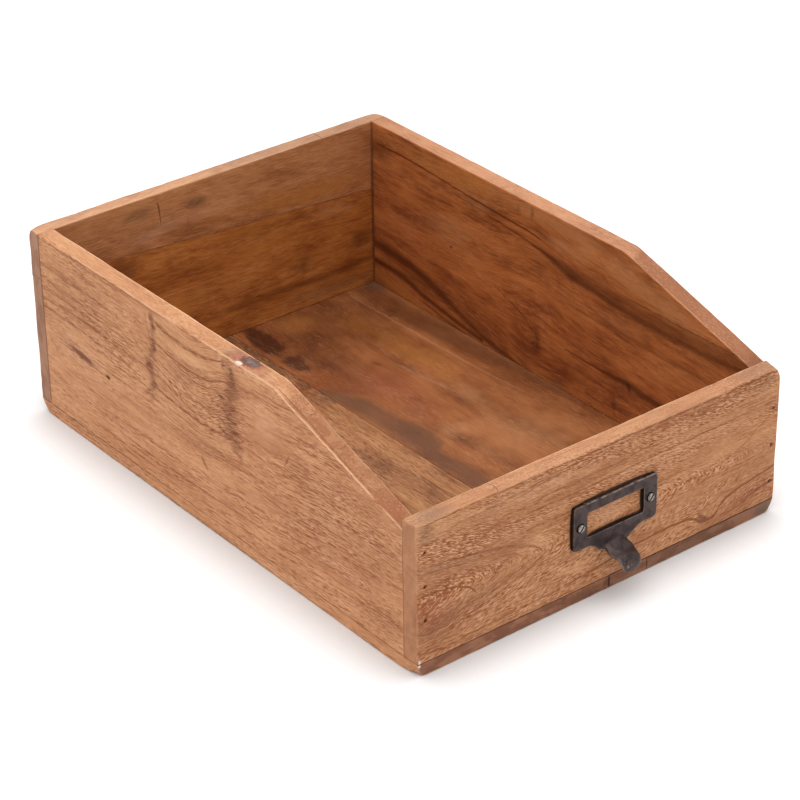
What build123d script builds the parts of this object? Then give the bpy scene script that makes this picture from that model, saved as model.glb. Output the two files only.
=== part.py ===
"""A desk tray for documents, made of old boards.

A front board and a two-plank back board cover the ends of two side boards, whose tops run level
and then slope down to the lower front. Two planks close the bottom. Nails hold the boards, and a
cast label holder with a finger pull is screwed to the front. The origin is on the underside, at
the middle of the box: +X is the right-hand side seen from the front, the front faces -Y, +Z is up.
"""

import os
from math import sqrt

from build123d import *

# Box
tray_width = 250.0
tray_depth = 350.0
back_height = 118.0
front_height = 90.0
side_thickness = 11.0
front_thickness = 11.0
back_thickness = 10.0
bottom_thickness = 8.0

# Tops of the side boards: level from the back, then sloping to end below the front board's top
left_level_length = 233.0
left_slope_end_height = 83.5
right_level_length = 237.0
right_slope_end_height = 87.5
bend_radius = 20.0

# Joints between planks
left_plank_width = 129.0
back_joint_height_left = 89.0
back_joint_height_right = 72.0

# Softened arrises
outer_edge_radius = 1.8
top_inner_edge_radius = 1.2
underside_edge_radius = 1.0

# Nails: shank, head, and how far the head is set below the wood
nail_length = 28.0
nail_shank_diameter = 1.5
nail_head_diameter = 2.1
nail_head_thickness = 0.9
nail_point_length = 2.5
nail_point_diameter = 0.4
nail_set_depth = 0.9
nail_clearance = 0.04
nails_per_joint = 3
nails_per_wall = 4

# Distance of each joint's lowest nail from the bottom planks, and of its highest from the top
front_left_nail_margins = (25.0, 17.0)
front_right_nail_margins = (12.0, 24.0)
front_right_nail_inset = 4.0
back_nail_margins = (17.0, 14.0)
bottom_nail_corner_margin = 47.0

# Label holder: a frame for a card, cast in one piece with its finger pull
holder_offset = 5.0
holder_height = 47.8
plate_width = 58.0
plate_height = 26.5
plate_thickness = 2.6
plate_corner_radius = 1.8
window_width = 39.0
window_height = 14.5
window_corner_radius = 0.6
card_slot_depth = 1.2
card_slot_lap = 1.5

# Neck under the plate, with a hollow flare on each side, and the pull that hooks out of it
neck_half_width = 9.5
neck_flare_radius = 11.0
neck_drop = 6.2
pull_start_drop = 4.8
pull_start_angle = 27.0
pull_straight_length = 11.0
pull_bend_radius = 7.0
pull_end_length = 2.6
pull_root_width = 19.0
pull_tip_width = 12.5
pull_root_thickness = 4.4
pull_tip_thickness = 3.2
pull_tip_share = 0.24

# Wood screws through the plate
screw_spacing = 48.5
screw_head_diameter = 5.0
screw_head_thickness = 1.9
screw_head_dome = 0.9
screw_shank_diameter = 2.6
screw_length = 9.5
screw_slot_width = 0.8
screw_slot_depth = 0.8
screw_slot_angle = 50.0
head_recess_depth = 0.8
head_recess_clearance = 0.2
screw_clearance = 0.05

# Faces and planes that several pieces share
half_width = tray_width / 2
front_face_y = -tray_depth / 2
back_face_y = tray_depth / 2
front_inner_y = front_face_y + front_thickness
back_inner_y = back_face_y - back_thickness
side_middle_x = half_width - side_thickness / 2
front_right_nail_x = half_width - front_right_nail_inset
plank_joint_x = -half_width + left_plank_width

front_face = Plane(origin=(0, front_face_y, 0), x_dir=(1, 0, 0), z_dir=(0, -1, 0))
back_face = Plane(origin=(0, back_face_y, 0), x_dir=(-1, 0, 0), z_dir=(0, 1, 0))
underside = Plane(origin=(0, 0, 0), x_dir=(1, 0, 0), z_dir=(0, 0, -1))
holder_plane = Plane(
    origin=(holder_offset, front_face_y, holder_height), x_dir=(1, 0, 0), z_dir=(0, -1, 0)
)


def spread(low, high, count):
    """Evenly spaced places from low to high."""
    return [low + (high - low) * i / (count - 1) for i in range(count)]


def joint_nail_points(x, margins, top):
    """Nail points of one corner joint, on the board that covers it."""
    low_margin, high_margin = margins
    heights = spread(bottom_thickness + low_margin, top - high_margin, nails_per_joint)
    return [(x, height) for height in heights]


def drive_nails(face, points):
    """Nails driven square into a face, each head set below it."""
    straight_length = nail_length - nail_head_thickness - nail_point_length
    with Locations(face):
        with Locations(*[(x, y, -nail_set_depth) for x, y in points]):
            Cylinder(
                nail_head_diameter / 2,
                nail_head_thickness,
                align=(Align.CENTER, Align.CENTER, Align.MAX),
            )
        with Locations(*[(x, y, -nail_set_depth - nail_head_thickness) for x, y in points]):
            Cylinder(
                nail_shank_diameter / 2,
                straight_length,
                align=(Align.CENTER, Align.CENTER, Align.MAX),
            )
        point_depth = nail_set_depth + nail_head_thickness + straight_length
        with Locations(*[(x, y, -point_depth) for x, y in points]):
            Cone(
                nail_point_diameter / 2,
                nail_shank_diameter / 2,
                nail_point_length,
                align=(Align.CENTER, Align.CENTER, Align.MAX),
            )


def cut_nail_holes(face, points):
    """The holes that those nails leave, in each board that they pass through."""
    head_depth = nail_set_depth + nail_head_thickness + nail_clearance
    with Locations(face):
        with Locations(*[(x, y, 0) for x, y in points]):
            Cylinder(
                nail_head_diameter / 2 + nail_clearance,
                head_depth,
                align=(Align.CENTER, Align.CENTER, Align.MAX),
                mode=Mode.SUBTRACT,
            )
            Cylinder(
                nail_shank_diameter / 2 + nail_clearance,
                nail_set_depth + nail_length + nail_clearance,
                align=(Align.CENTER, Align.CENTER, Align.MAX),
                mode=Mode.SUBTRACT,
            )


front_left_nail_points = joint_nail_points(-side_middle_x, front_left_nail_margins, front_height)
front_right_nail_points = joint_nail_points(
    front_right_nail_x, front_right_nail_margins, front_height
)
back_left_nail_points = joint_nail_points(side_middle_x, back_nail_margins, back_height)
back_right_nail_points = joint_nail_points(-side_middle_x, back_nail_margins, back_height)

# On the underside's plane, whose second axis points to the front
nail_reach_x = half_width - bottom_nail_corner_margin
nail_reach_y = tray_depth / 2 - bottom_nail_corner_margin
along_width = spread(-nail_reach_x, nail_reach_x, nails_per_wall)
along_depth = spread(-nail_reach_y, nail_reach_y, nails_per_wall)
bottom_front_nail_points = [(x, -front_face_y - front_thickness / 2) for x in along_width]
bottom_back_nail_points = [(x, -back_face_y + back_thickness / 2) for x in along_width]
bottom_left_nail_points = [(-side_middle_x, y) for y in along_depth]
bottom_right_nail_points = [(side_middle_x, y) for y in along_depth]
bottom_nail_points = (
    bottom_front_nail_points
    + bottom_back_nail_points
    + bottom_left_nail_points
    + bottom_right_nail_points
)


# Front board: covers the ends of both side boards
with BuildPart() as front_board:
    with BuildSketch(Plane.XY.offset(bottom_thickness)):
        with Locations((0, front_face_y + front_thickness / 2)):
            Rectangle(tray_width, front_thickness)
    extrude(amount=front_height - bottom_thickness)
    front_edges = front_board.faces().sort_by(Axis.Y)[0].edges()
    end_edges = front_board.faces().sort_by(Axis.Z)[-1].edges().filter_by(Axis.Y)
    outer_edges = front_edges.sort_by(Axis.Z)[1:] + end_edges
    fillet(outer_edges, outer_edge_radius)
    inner_edge = front_board.faces().sort_by(Axis.Y)[-1].edges().sort_by(Axis.Z)[-1]
    fillet(inner_edge, top_inner_edge_radius)
    cut_nail_holes(front_face, front_left_nail_points + front_right_nail_points)
    cut_nail_holes(underside, bottom_front_nail_points)
    with Locations(holder_plane):
        with GridLocations(screw_spacing, 0, 2, 1):
            Cylinder(
                screw_shank_diameter / 2 + screw_clearance,
                screw_length + screw_clearance - plate_thickness + head_recess_depth,
                align=(Align.CENTER, Align.CENTER, Align.MAX),
                mode=Mode.SUBTRACT,
            )
front_board.part.label = "front_board"


# Back board: two planks edge to edge, on a joint that runs down to the right
joint_left = (-half_width, back_joint_height_left)
joint_right = (half_width, back_joint_height_right)
back_inner_plane = Plane(origin=(0, back_inner_y, 0), x_dir=(1, 0, 0), z_dir=(0, -1, 0))

with BuildPart() as back_board_lower:
    with BuildSketch(back_inner_plane):
        with BuildLine():
            Polyline(
                joint_left,
                (-half_width, bottom_thickness),
                (half_width, bottom_thickness),
                joint_right,
                close=True,
            )
        make_face()
    extrude(amount=-back_thickness)
    back_face_edges = back_board_lower.faces().sort_by(Axis.Y)[-1].edges()
    fillet(back_face_edges.filter_by(Axis.Z), outer_edge_radius)
    cut_nail_holes(back_face, back_left_nail_points + back_right_nail_points)
    cut_nail_holes(underside, bottom_back_nail_points)
back_board_lower.part.label = "back_board_lower"

with BuildPart() as back_board_upper:
    with BuildSketch(back_inner_plane):
        with BuildLine():
            Polyline(
                joint_left,
                joint_right,
                (half_width, back_height),
                (-half_width, back_height),
                close=True,
            )
        make_face()
    extrude(amount=-back_thickness)
    back_face_edges = back_board_upper.faces().sort_by(Axis.Y)[-1].edges()
    end_edges = back_board_upper.faces().sort_by(Axis.Z)[-1].edges().filter_by(Axis.Y)
    fillet(back_face_edges.sort_by(Axis.Z)[1:] + end_edges, outer_edge_radius)
    inner_edge = back_board_upper.faces().sort_by(Axis.Y)[0].edges().sort_by(Axis.Z)[-1]
    fillet(inner_edge, top_inner_edge_radius)
    cut_nail_holes(back_face, back_left_nail_points + back_right_nail_points)
back_board_upper.part.label = "back_board_upper"


def build_side_board(middle_x, level_length, end_height, front_points, back_points, bottom_points):
    """A side board between the front and back boards, standing on the bottom planks."""
    bend_y = back_face_y - level_length
    with BuildPart() as side_board:
        with BuildSketch(Plane.YZ.offset(middle_x - side_thickness / 2)):
            with BuildLine():
                FilletPolyline(
                    (back_inner_y, back_height),
                    (bend_y, back_height),
                    (front_inner_y, end_height),
                    radius=bend_radius,
                )
                Polyline(
                    (front_inner_y, end_height),
                    (front_inner_y, bottom_thickness),
                    (back_inner_y, bottom_thickness),
                    (back_inner_y, back_height),
                )
            make_face()
        extrude(amount=side_thickness)
        faces_by_side = side_board.faces().sort_by(Axis.X)
        outer_side, inner_side = (-1, 0) if middle_x > 0 else (0, -1)
        outer_top = faces_by_side[outer_side].edges().filter_by(
            lambda edge: edge.center().Z > end_height
        )
        inner_top = faces_by_side[inner_side].edges().filter_by(
            lambda edge: edge.center().Z > end_height
        )
        fillet(outer_top, outer_edge_radius)
        fillet(inner_top, top_inner_edge_radius)
        cut_nail_holes(front_face, front_points)
        cut_nail_holes(back_face, back_points)
        cut_nail_holes(underside, bottom_points)
    return side_board


left_side_board = build_side_board(
    -side_middle_x,
    left_level_length,
    left_slope_end_height,
    front_left_nail_points,
    back_left_nail_points,
    bottom_left_nail_points,
)
left_side_board.part.label = "left_side_board"

right_side_board = build_side_board(
    side_middle_x,
    right_level_length,
    right_slope_end_height,
    front_right_nail_points,
    back_right_nail_points,
    bottom_right_nail_points,
)
right_side_board.part.label = "right_side_board"


def build_bottom_plank(low_x, high_x):
    """One bottom plank, from front to back under all the walls."""
    with BuildPart() as plank:
        with BuildSketch(Plane.XY):
            with Locations(((low_x + high_x) / 2, 0)):
                Rectangle(high_x - low_x, tray_depth)
        extrude(amount=bottom_thickness)
        outer_corners = plank.edges().filter_by(Axis.Z).filter_by(
            lambda edge: abs(edge.center().X - plank_joint_x) > outer_edge_radius
        )
        fillet(outer_corners, outer_edge_radius)
        under_edges = plank.faces().sort_by(Axis.Z)[0].edges()
        rim_edges = under_edges.filter_by(
            lambda edge: abs(edge.center().X - plank_joint_x) > outer_edge_radius
        )
        fillet(rim_edges, underside_edge_radius)
        cut_nail_holes(underside, bottom_nail_points)
    return plank


bottom_plank_left = build_bottom_plank(-half_width, plank_joint_x)
bottom_plank_left.part.label = "bottom_plank_left"

bottom_plank_right = build_bottom_plank(plank_joint_x, half_width)
bottom_plank_right.part.label = "bottom_plank_right"


# Label holder: the plate with its window and card slot, the flared neck and the hooked pull
plate_bottom = -plate_height / 2
flare_centre_x = neck_half_width + neck_flare_radius
flare_centre_y = plate_bottom - neck_flare_radius
flare_end_rise = neck_flare_radius - neck_drop
flare_end_x = flare_centre_x - sqrt(neck_flare_radius**2 - flare_end_rise**2)
flare_end_y = plate_bottom - neck_drop
flare_middle = neck_flare_radius * sqrt(0.5)
flare_middle_x = flare_centre_x - flare_middle
flare_middle_y = flare_centre_y + flare_middle

# The pull's middle line, in a plane whose axes point out of the front and up
pull_plane = Plane(
    origin=(holder_offset, front_face_y, holder_height + plate_bottom),
    x_dir=(0, -1, 0),
    z_dir=(-1, 0, 0),
)
with BuildLine(pull_plane) as pull_line:
    first_run = PolarLine(
        start=(plate_thickness / 2, -pull_start_drop),
        length=pull_straight_length,
        angle=-pull_start_angle,
    )
    bend = JernArc(
        start=first_run @ 1,
        tangent=first_run % 1,
        radius=pull_bend_radius,
        arc_size=-(90 - pull_start_angle),
    )
    Line(bend @ 1, (bend @ 1) - Vector(0, 0, pull_end_length))


def pull_section_scale(share):
    """How far the pull keeps its full section: a round end over the last part of its length."""
    past = max(0.0, share - (1 - pull_tip_share)) / pull_tip_share
    return sqrt(1 - past**2)


pull_stations = (0.0, 0.2, 0.45, 0.66, 0.8, 0.9, 0.96, 0.99)

with BuildPart() as label_holder_pull:
    with BuildSketch(holder_plane):
        RectangleRounded(plate_width, plate_height, plate_corner_radius)
        with BuildLine():
            ThreePointArc(
                (-flare_centre_x, plate_bottom),
                (-flare_middle_x, flare_middle_y),
                (-flare_end_x, flare_end_y),
            )
            Line((-flare_end_x, flare_end_y), (flare_end_x, flare_end_y))
            ThreePointArc(
                (flare_end_x, flare_end_y),
                (flare_middle_x, flare_middle_y),
                (flare_centre_x, plate_bottom),
            )
            Line((flare_centre_x, plate_bottom), (-flare_centre_x, plate_bottom))
        make_face()
        RectangleRounded(
            window_width, window_height, window_corner_radius, mode=Mode.SUBTRACT
        )
    extrude(amount=plate_thickness)
    for share in pull_stations:
        width = pull_root_width + (pull_tip_width - pull_root_width) * share
        thickness = pull_root_thickness + (pull_tip_thickness - pull_root_thickness) * share
        scale_here = pull_section_scale(share)
        station = Plane(
            origin=pull_line.line @ share, x_dir=(1, 0, 0), z_dir=pull_line.line % share
        )
        with BuildSketch(station):
            Ellipse(width / 2 * scale_here, thickness / 2 * scale_here)
    loft()
    with BuildSketch(holder_plane):
        slot_bottom = -window_height / 2 - card_slot_lap
        with Locations((0, (plate_height / 2 + slot_bottom) / 2)):
            Rectangle(window_width + 2 * card_slot_lap, plate_height / 2 - slot_bottom)
    extrude(amount=card_slot_depth, mode=Mode.SUBTRACT)
    with Locations(holder_plane.offset(plate_thickness)):
        with GridLocations(screw_spacing, 0, 2, 1):
            CounterBoreHole(
                radius=screw_shank_diameter / 2 + screw_clearance,
                counter_bore_radius=screw_head_diameter / 2 + head_recess_clearance,
                counter_bore_depth=head_recess_depth,
                depth=plate_thickness,
            )
label_holder_pull.part.label = "label_holder_pull"


# Two slotted wood screws, their heads seated in the plate's recesses
head_seat = holder_plane.offset(plate_thickness - head_recess_depth)
with BuildPart() as label_holder_screws:
    with Locations(head_seat):
        with GridLocations(screw_spacing, 0, 2, 1):
            Cylinder(
                screw_head_diameter / 2,
                screw_head_thickness,
                align=(Align.CENTER, Align.CENTER, Align.MIN),
            )
    crown_edges = label_holder_screws.edges().group_by(Axis.Y)[0]
    fillet(crown_edges, screw_head_dome)
    with Locations(head_seat):
        with GridLocations(screw_spacing, 0, 2, 1):
            Cylinder(
                screw_shank_diameter / 2,
                screw_length,
                align=(Align.CENTER, Align.CENTER, Align.MAX),
            )
    with Locations(head_seat.offset(screw_head_thickness)):
        with GridLocations(screw_spacing, 0, 2, 1):
            Box(
                screw_head_diameter,
                screw_slot_width,
                screw_slot_depth,
                rotation=(0, 0, screw_slot_angle),
                align=(Align.CENTER, Align.CENTER, Align.MAX),
                mode=Mode.SUBTRACT,
            )
label_holder_screws.part.label = "label_holder_screws"


def build_nails(name, face, points):
    """The nails of one joint, as separate solids."""
    with BuildPart() as nails:
        drive_nails(face, points)
    nails.part.label = name
    return nails


front_left_nails = build_nails("front_left_nails", front_face, front_left_nail_points)
front_right_nails = build_nails("front_right_nails", front_face, front_right_nail_points)
back_left_nails = build_nails("back_left_nails", back_face, back_left_nail_points)
back_right_nails = build_nails("back_right_nails", back_face, back_right_nail_points)
bottom_front_nails = build_nails("bottom_front_nails", underside, bottom_front_nail_points)
bottom_back_nails = build_nails("bottom_back_nails", underside, bottom_back_nail_points)
bottom_left_nails = build_nails("bottom_left_nails", underside, bottom_left_nail_points)
bottom_right_nails = build_nails("bottom_right_nails", underside, bottom_right_nail_points)

pieces = (
    front_board,
    back_board_lower,
    back_board_upper,
    left_side_board,
    right_side_board,
    bottom_plank_left,
    bottom_plank_right,
    label_holder_pull,
    label_holder_screws,
    front_left_nails,
    front_right_nails,
    back_left_nails,
    back_right_nails,
    bottom_front_nails,
    bottom_back_nails,
    bottom_left_nails,
    bottom_right_nails,
)

os.makedirs("parts", exist_ok=True)
for piece in pieces:
    export_step(piece.part, f"parts/{piece.part.label}.step")
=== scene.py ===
"""A desk tray for documents: old boards sanded and oiled, rusty nails, a cast label holder.

Every board is built here as a fine mesh with worn arrises, sunk nail holes and knocked corners, and
carries its own grain, which bends round knots and scars. Lengths are millimetres in the model's
frame and become metres when a mesh is made. The front of the tray faces -Y, its right-hand side
seen from the front is +X.
"""

import math

import bpy
import numpy as np
from mathutils import Matrix, Vector


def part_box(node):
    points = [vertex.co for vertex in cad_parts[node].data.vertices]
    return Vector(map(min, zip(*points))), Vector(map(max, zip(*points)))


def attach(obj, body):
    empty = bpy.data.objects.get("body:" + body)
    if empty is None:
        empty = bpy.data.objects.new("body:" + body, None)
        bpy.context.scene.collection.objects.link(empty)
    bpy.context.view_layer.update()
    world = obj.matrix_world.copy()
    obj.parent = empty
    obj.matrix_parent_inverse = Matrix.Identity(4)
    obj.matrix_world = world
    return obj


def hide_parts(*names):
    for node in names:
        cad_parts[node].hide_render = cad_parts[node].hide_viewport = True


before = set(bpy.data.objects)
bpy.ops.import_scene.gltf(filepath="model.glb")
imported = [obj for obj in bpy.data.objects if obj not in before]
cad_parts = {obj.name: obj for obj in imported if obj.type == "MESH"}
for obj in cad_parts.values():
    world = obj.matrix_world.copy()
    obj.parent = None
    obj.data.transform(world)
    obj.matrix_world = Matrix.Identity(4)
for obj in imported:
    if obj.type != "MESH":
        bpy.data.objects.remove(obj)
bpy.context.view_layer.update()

MM = 0.001


def node_box(name):
    """A node's lowest and highest corners in millimetres."""
    low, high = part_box(name)
    return np.array(low) / MM, np.array(high) / MM


# Places that several boards share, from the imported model
front_high = node_box("front_board")[1]
back_lower_high = node_box("back_board_lower")[1]
back_upper_low, back_upper_high = node_box("back_board_upper")
holder_low, holder_high = node_box("label_holder_pull")

half_width = front_high[0]
half_depth = back_lower_high[1]
back_height = back_upper_high[2]
front_height = front_high[2]
inner_front_y = front_high[1]

# Tops of the side boards: where each stops being level, and its height at the front board
left_bend_y = -58.0
left_end_height = 83.5
right_bend_y = -62.0
right_end_height = 87.5
bend_radius = 20.0

# Arrises and joints
worn_radius = 1.3
inner_top_radius = 0.9
underside_radius = 0.7
joint_radius = 0.4
joint_gap = 0.1

# Waves in a worn arris: a share of its radius and the size of the waves
wear_waves = ((0.4, 17.0), (0.25, 5.0))
# How softly one edge's radius turns into the next one's, and a distance past any edge
radius_blend = 0.2
far_from_edges = 60.0
# What sanding took off the faces, and the size of its waves
sanding_depth = 0.06
sanding_size = 26.0

# Mesh lines: their spacing on open faces, the least room they leave each other, and how far in from
# a rim and round a hollow they run. The step with the number rim_step lies on the hollow's rim
face_step = 2.0
least_open_step = 0.4 * face_step
least_step = 0.08
rim_steps = (0.15, 0.4, 0.75, 1.2, 1.8)
hole_steps = (0.0, 0.35, 0.7, 0.95, 1.12, 1.3, 1.6)
pit_steps = (0.0, 0.3, 0.6, 0.8, 1.0, 1.3)
rim_step = 4

# Hollows: nail holes all alike, other pits with a softer rim, and how ragged their rims are
hole_radius = 1.12
hole_depth = 1.85
hole_rim = 0.2
pit_rim = 0.7
ragged_share = 0.07
ragged_size = 0.6


def smooth_step(low, high, value):
    """0 below low, 1 above high, and a soft rise between them."""
    share = np.clip((value - low) / (high - low), 0, 1)
    return share * share * (3 - 2 * share)


def sloped_top(bend_y, end_height):
    """A side board's height at any place: level, a soft bend, then a straight slope."""
    angle = math.atan2(back_height - end_height, bend_y - inner_front_y)
    start_y = bend_y + bend_radius * math.tan(angle / 2)
    end_y = start_y - bend_radius * math.sin(angle)

    def height(x, y):
        rise = np.maximum(bend_radius**2 - (y - start_y) ** 2, 1.0)
        arc = back_height - bend_radius + np.sqrt(rise)
        slope = back_height - (bend_y - y) * math.tan(angle)
        return np.where(y > start_y, back_height, np.where(y > end_y, arc, slope))

    return height


left_top = sloped_top(left_bend_y, left_end_height)
right_top = sloped_top(right_bend_y, right_end_height)


def plank_joint_height(x, y):
    """Height of the slanting joint between the back board's planks."""
    share = (x + half_width) / (2 * half_width)
    return back_lower_high[2] + (back_upper_low[2] - back_lower_high[2]) * share


def value_noise(points, size, seed):
    """Smooth noise from -1 to 1 whose bumps have that size, one value for each point."""
    count = 32
    above_zero = count * 8
    table = np.random.default_rng(seed).uniform(-1, 1, (count, count, count))
    scaled = points / np.asarray(size, float) + above_zero
    cell = np.floor(scaled).astype(int)
    part = scaled - cell
    part = part * part * (3 - 2 * part)
    total = np.zeros(len(points))
    for corner in np.ndindex(2, 2, 2):
        weight = np.prod(np.where(corner, part, 1 - part), axis=1)
        i, j, k = ((cell + corner) % count).T
        total += weight * table[i, j, k]
    return total


def nail_rows(names, count):
    """Middles of rows of evenly spaced nails, from their nodes' boxes."""
    rows = []
    for name in names:
        low, high = node_box(name)
        axis = int(np.argmax(high - low))
        head_radius = min(high - low) / 2
        middles = np.tile((low + high) / 2, (count, 1))
        middles[:, axis] = np.linspace(low[axis] + head_radius, high[axis] - head_radius, count)
        rows.append(middles)
    return np.concatenate(rows)


front_nails = nail_rows(("front_left_nails", "front_right_nails"), 3)
back_nails = nail_rows(("back_left_nails", "back_right_nails"), 3)
bottom_row_names = ("bottom_front_nails", "bottom_back_nails", "bottom_left_nails", "bottom_right_nails")
bottom_nails = nail_rows(bottom_row_names, 4)


def mesh_lines(low, high, extra):
    """Where mesh lines cross one axis: close together along both rims and where extra ones lie."""
    lines = [low, high, *extra]
    for rim in rim_steps:
        if 2 * rim < high - low:
            lines += [low + rim, high - rim]
    for place in np.linspace(low, high, max(2, round((high - low) / face_step)) + 1):
        if min(abs(place - line) for line in lines) > least_open_step:
            lines.append(place)
    kept = []
    for line in sorted(line for line in lines if low <= line <= high):
        if not kept or line - kept[-1] > least_step:
            kept.append(line)
    return np.array(kept)


def block_surface(xs, ys, zs):
    """Points and outward quads on the outside of a block of mesh lines."""
    shape = (len(xs), len(ys), len(zs))
    index = np.arange(np.prod(shape)).reshape(shape)
    quads = []
    for axis in range(3):
        for end in (0, -1):
            sheet = np.take(index, end, axis=axis)
            a, b, c, d = sheet[:-1, :-1], sheet[1:, :-1], sheet[1:, 1:], sheet[:-1, 1:]
            outward = (end == -1) == (axis != 1)
            order = (a, b, c, d) if outward else (a, d, c, b)
            quads.append(np.stack(order, axis=-1).reshape(-1, 4))
    used, quads = np.unique(np.concatenate(quads), return_inverse=True)
    i, j, k = np.unravel_index(used, shape)
    return np.stack([xs[i], ys[j], zs[k]], axis=1), quads.reshape(-1, 4)


# A side of a block: its axis, and 0 for its low end or 1 for its high end
SIDES = {"-x": (0, 0), "+x": (0, 1), "-y": (1, 0), "+y": (1, 1), "-z": (2, 0), "+z": (2, 1)}


def edge_distance(points, limits, sides):
    """Distance from each point to the edge where two sides of its block meet."""
    total = 0.0
    for axis, end in (SIDES[side] for side in sides):
        total = total + (points[:, axis] - limits[end][:, axis]) ** 2
    return np.sqrt(total)


# Corners knocked off the finished tray: which corner, the direction of the cut, and its depth
corner_knocks = (
    ((-half_width, half_depth, back_height), (-0.4, 0.7, 0.6), 2.0),
    ((-half_width, half_depth, 0.0), (-0.35, 0.6, -0.72), 4.2),
    ((-half_width, -half_depth, 0.0), (-0.8, -0.3, -0.5), 3.4),
    ((half_width, -half_depth, front_height), (0.72, -0.25, 0.64), 3.0),
    ((half_width, -half_depth, 0.0), (0.75, -0.3, -0.6), 3.4),
    ((half_width, half_depth, back_height), (0.6, 0.6, 0.53), 2.4),
    ((half_width, half_depth, 0.0), (0.5, 0.6, -0.62), 2.6),
)
knock_softness = 1.0
knock_unevenness = 0.35
knock_bump_size = 3.0
# Nothing further from the corner than this many depths is cut
knock_reach = 6


def knock_corners(points):
    """Flattens what stands past each knocked corner's slanting cut."""
    for corner, direction, depth in corner_knocks:
        normal = np.array(direction) / np.linalg.norm(direction)
        uneven = knock_unevenness * value_noise(points, knock_bump_size, 71)
        past = (points - corner) @ normal + depth + uneven
        cut = knock_softness * np.logaddexp(0, past / knock_softness)
        near = np.linalg.norm(points - corner, axis=1) < depth * knock_reach
        points = points - np.where(near, cut, 0.0)[:, None] * normal
    return points


def round_block(points, limits, edges, seed):
    """Rounds a block's edges. Worn ones vary along their length. Gives each point's way out too."""
    total = np.zeros(len(points))
    weights = np.zeros(len(points))
    worn = np.full(len(points), far_from_edges)
    wear = np.ones(len(points))
    for number, (share, size) in enumerate(wear_waves):
        wear += share * value_noise(points, size, seed + number)
    for first in ("-x", "+x", "-y", "+y"):
        for second in ("-y", "+y", "-z", "+z"):
            if first[1] == second[1]:
                continue
            distance = edge_distance(points, limits, (first, second))
            radius = edges.get(first + second, joint_radius)
            if radius > joint_radius:
                worn = np.minimum(worn, distance)
                radius = radius * wear
            weight = 1 / (distance + radius_blend) ** 4
            total += weight * radius
            weights += weight
    radius = (total / weights)[:, None]
    core = np.clip(points, limits[0] + radius, limits[1] - radius)
    outward = points - core
    outward /= np.maximum(np.linalg.norm(outward, axis=1), 1e-6)[:, None]
    return core + radius * outward, outward, worn


def board_hollows(board):
    """Nail holes and pits: side, middle, half sizes, depth, width of the rim, and mesh lines."""
    hollows = []
    for middle in board["nails"]:
        half_sizes = np.full(3, hole_radius)
        hollows.append((board["nailed"], middle, half_sizes, hole_depth, hole_rim, hole_steps))
    for side, middle, half_sizes, depth in board["pits"]:
        hollows.append((side, np.array(middle), np.array(half_sizes), depth, pit_rim, pit_steps))
    return hollows


def hollow_lines(hollows):
    """Extra mesh lines round the hollows, for each of the three axes."""
    extra = [[], [], []]
    for side, middle, half_sizes, _, _, steps in hollows:
        for axis in {0, 1, 2} - {SIDES[side][0]}:
            for step in steps:
                reach = step / steps[rim_step] * half_sizes[axis]
                extra[axis] += [middle[axis] - reach, middle[axis] + reach]
    return extra


def sink(points, outward, hollow, seed):
    """Pushes in a round or oval hollow with a ragged rim on one side of a board."""
    side, middle, half_sizes, depth, rim, _ = hollow
    axis, end = SIDES[side]
    inward = np.zeros(3)
    inward[axis] = 1 - 2 * end
    on_face = outward @ inward < -0.7
    offset = points - middle
    offset[:, axis] = 0
    ragged = ragged_share * value_noise(points, ragged_size, seed)
    reach = np.linalg.norm(offset / half_sizes, axis=1) + ragged
    sunk = depth * (1 - smooth_step(1.0 - rim / 2, 1.0 + rim / 2, reach))
    return points + np.where(on_face, sunk, 0.0)[:, None] * inward


def board_shape(board, seed):
    """A rounded and worn board: points, quads, each point's way out, and how far worn edges are."""
    low, high = node_box(board["node"])
    for side in board["joints"]:
        axis, end = SIDES[side]
        (low, high)[end][axis] += joint_gap * (1 - 2 * end)
    hollows = board_hollows(board)
    extra = hollow_lines(hollows)
    points, quads = block_surface(*[mesh_lines(low[i], high[i], extra[i]) for i in range(3)])

    limits = (np.tile(low, (len(points), 1)), np.tile(high, (len(points), 1)))
    x, y, z = points.T
    if board["bottom"]:
        limits[0][:, 2] = board["bottom"](x, y) + joint_gap
    if board["top"]:
        limits[1][:, 2] = board["top"](x, y)
    share = (z - low[2]) / (high[2] - low[2])
    points[:, 2] = limits[0][:, 2] + share * (limits[1][:, 2] - limits[0][:, 2])
    edges = {edge: radius for radius, names in board["edges"].items() for edge in names.split()}
    points, outward, worn = round_block(points, limits, edges, seed)
    uneven = sanding_depth * (1 + value_noise(points, sanding_size, seed + 2))
    points = knock_corners(points - uneven[:, None] * outward)
    for hollow in hollows:
        points = sink(points, outward, hollow, seed + 3)
    return points, quads, outward, worn


# How far a stain's outline wanders, and the turn and softness of a stain that names none
stain_wander = 0.22
plain_stain = (0, 0.9)


def paint_stains(stains, points, along, across):
    """Mixes soft stains into one colour and one share for each point."""
    wander = value_noise(points, 9.0, 301) + 0.6 * value_noise(points, 3.5, 302)
    shade = np.zeros((len(points), 3))
    share = np.zeros(len(points))
    for stain_colour, u, v, half_u, half_v, strength, *rest in stains:
        turn, soft = rest or plain_stain
        turn = math.radians(turn)
        du, dv = points[:, along] - u, points[:, across] - v
        local_u = (du * math.cos(turn) + dv * math.sin(turn)) / half_u
        local_v = (dv * math.cos(turn) - du * math.sin(turn)) / half_v
        away = np.hypot(local_u, local_v) + stain_wander * wander
        mask = strength * (1 - smooth_step(1 - soft, 1.0, away))
        joined = mask + (1 - mask) * share
        part = (mask / np.maximum(joined, 1e-6))[:, None]
        shade = part * np.array(stain_colour[:3]) + (1 - part) * shade
        share = joined
    return shade, share


# Moves each board into a part of the grain's noise of its own
grain_shift = np.array([131.0, 57.0, 23.0])


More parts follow.
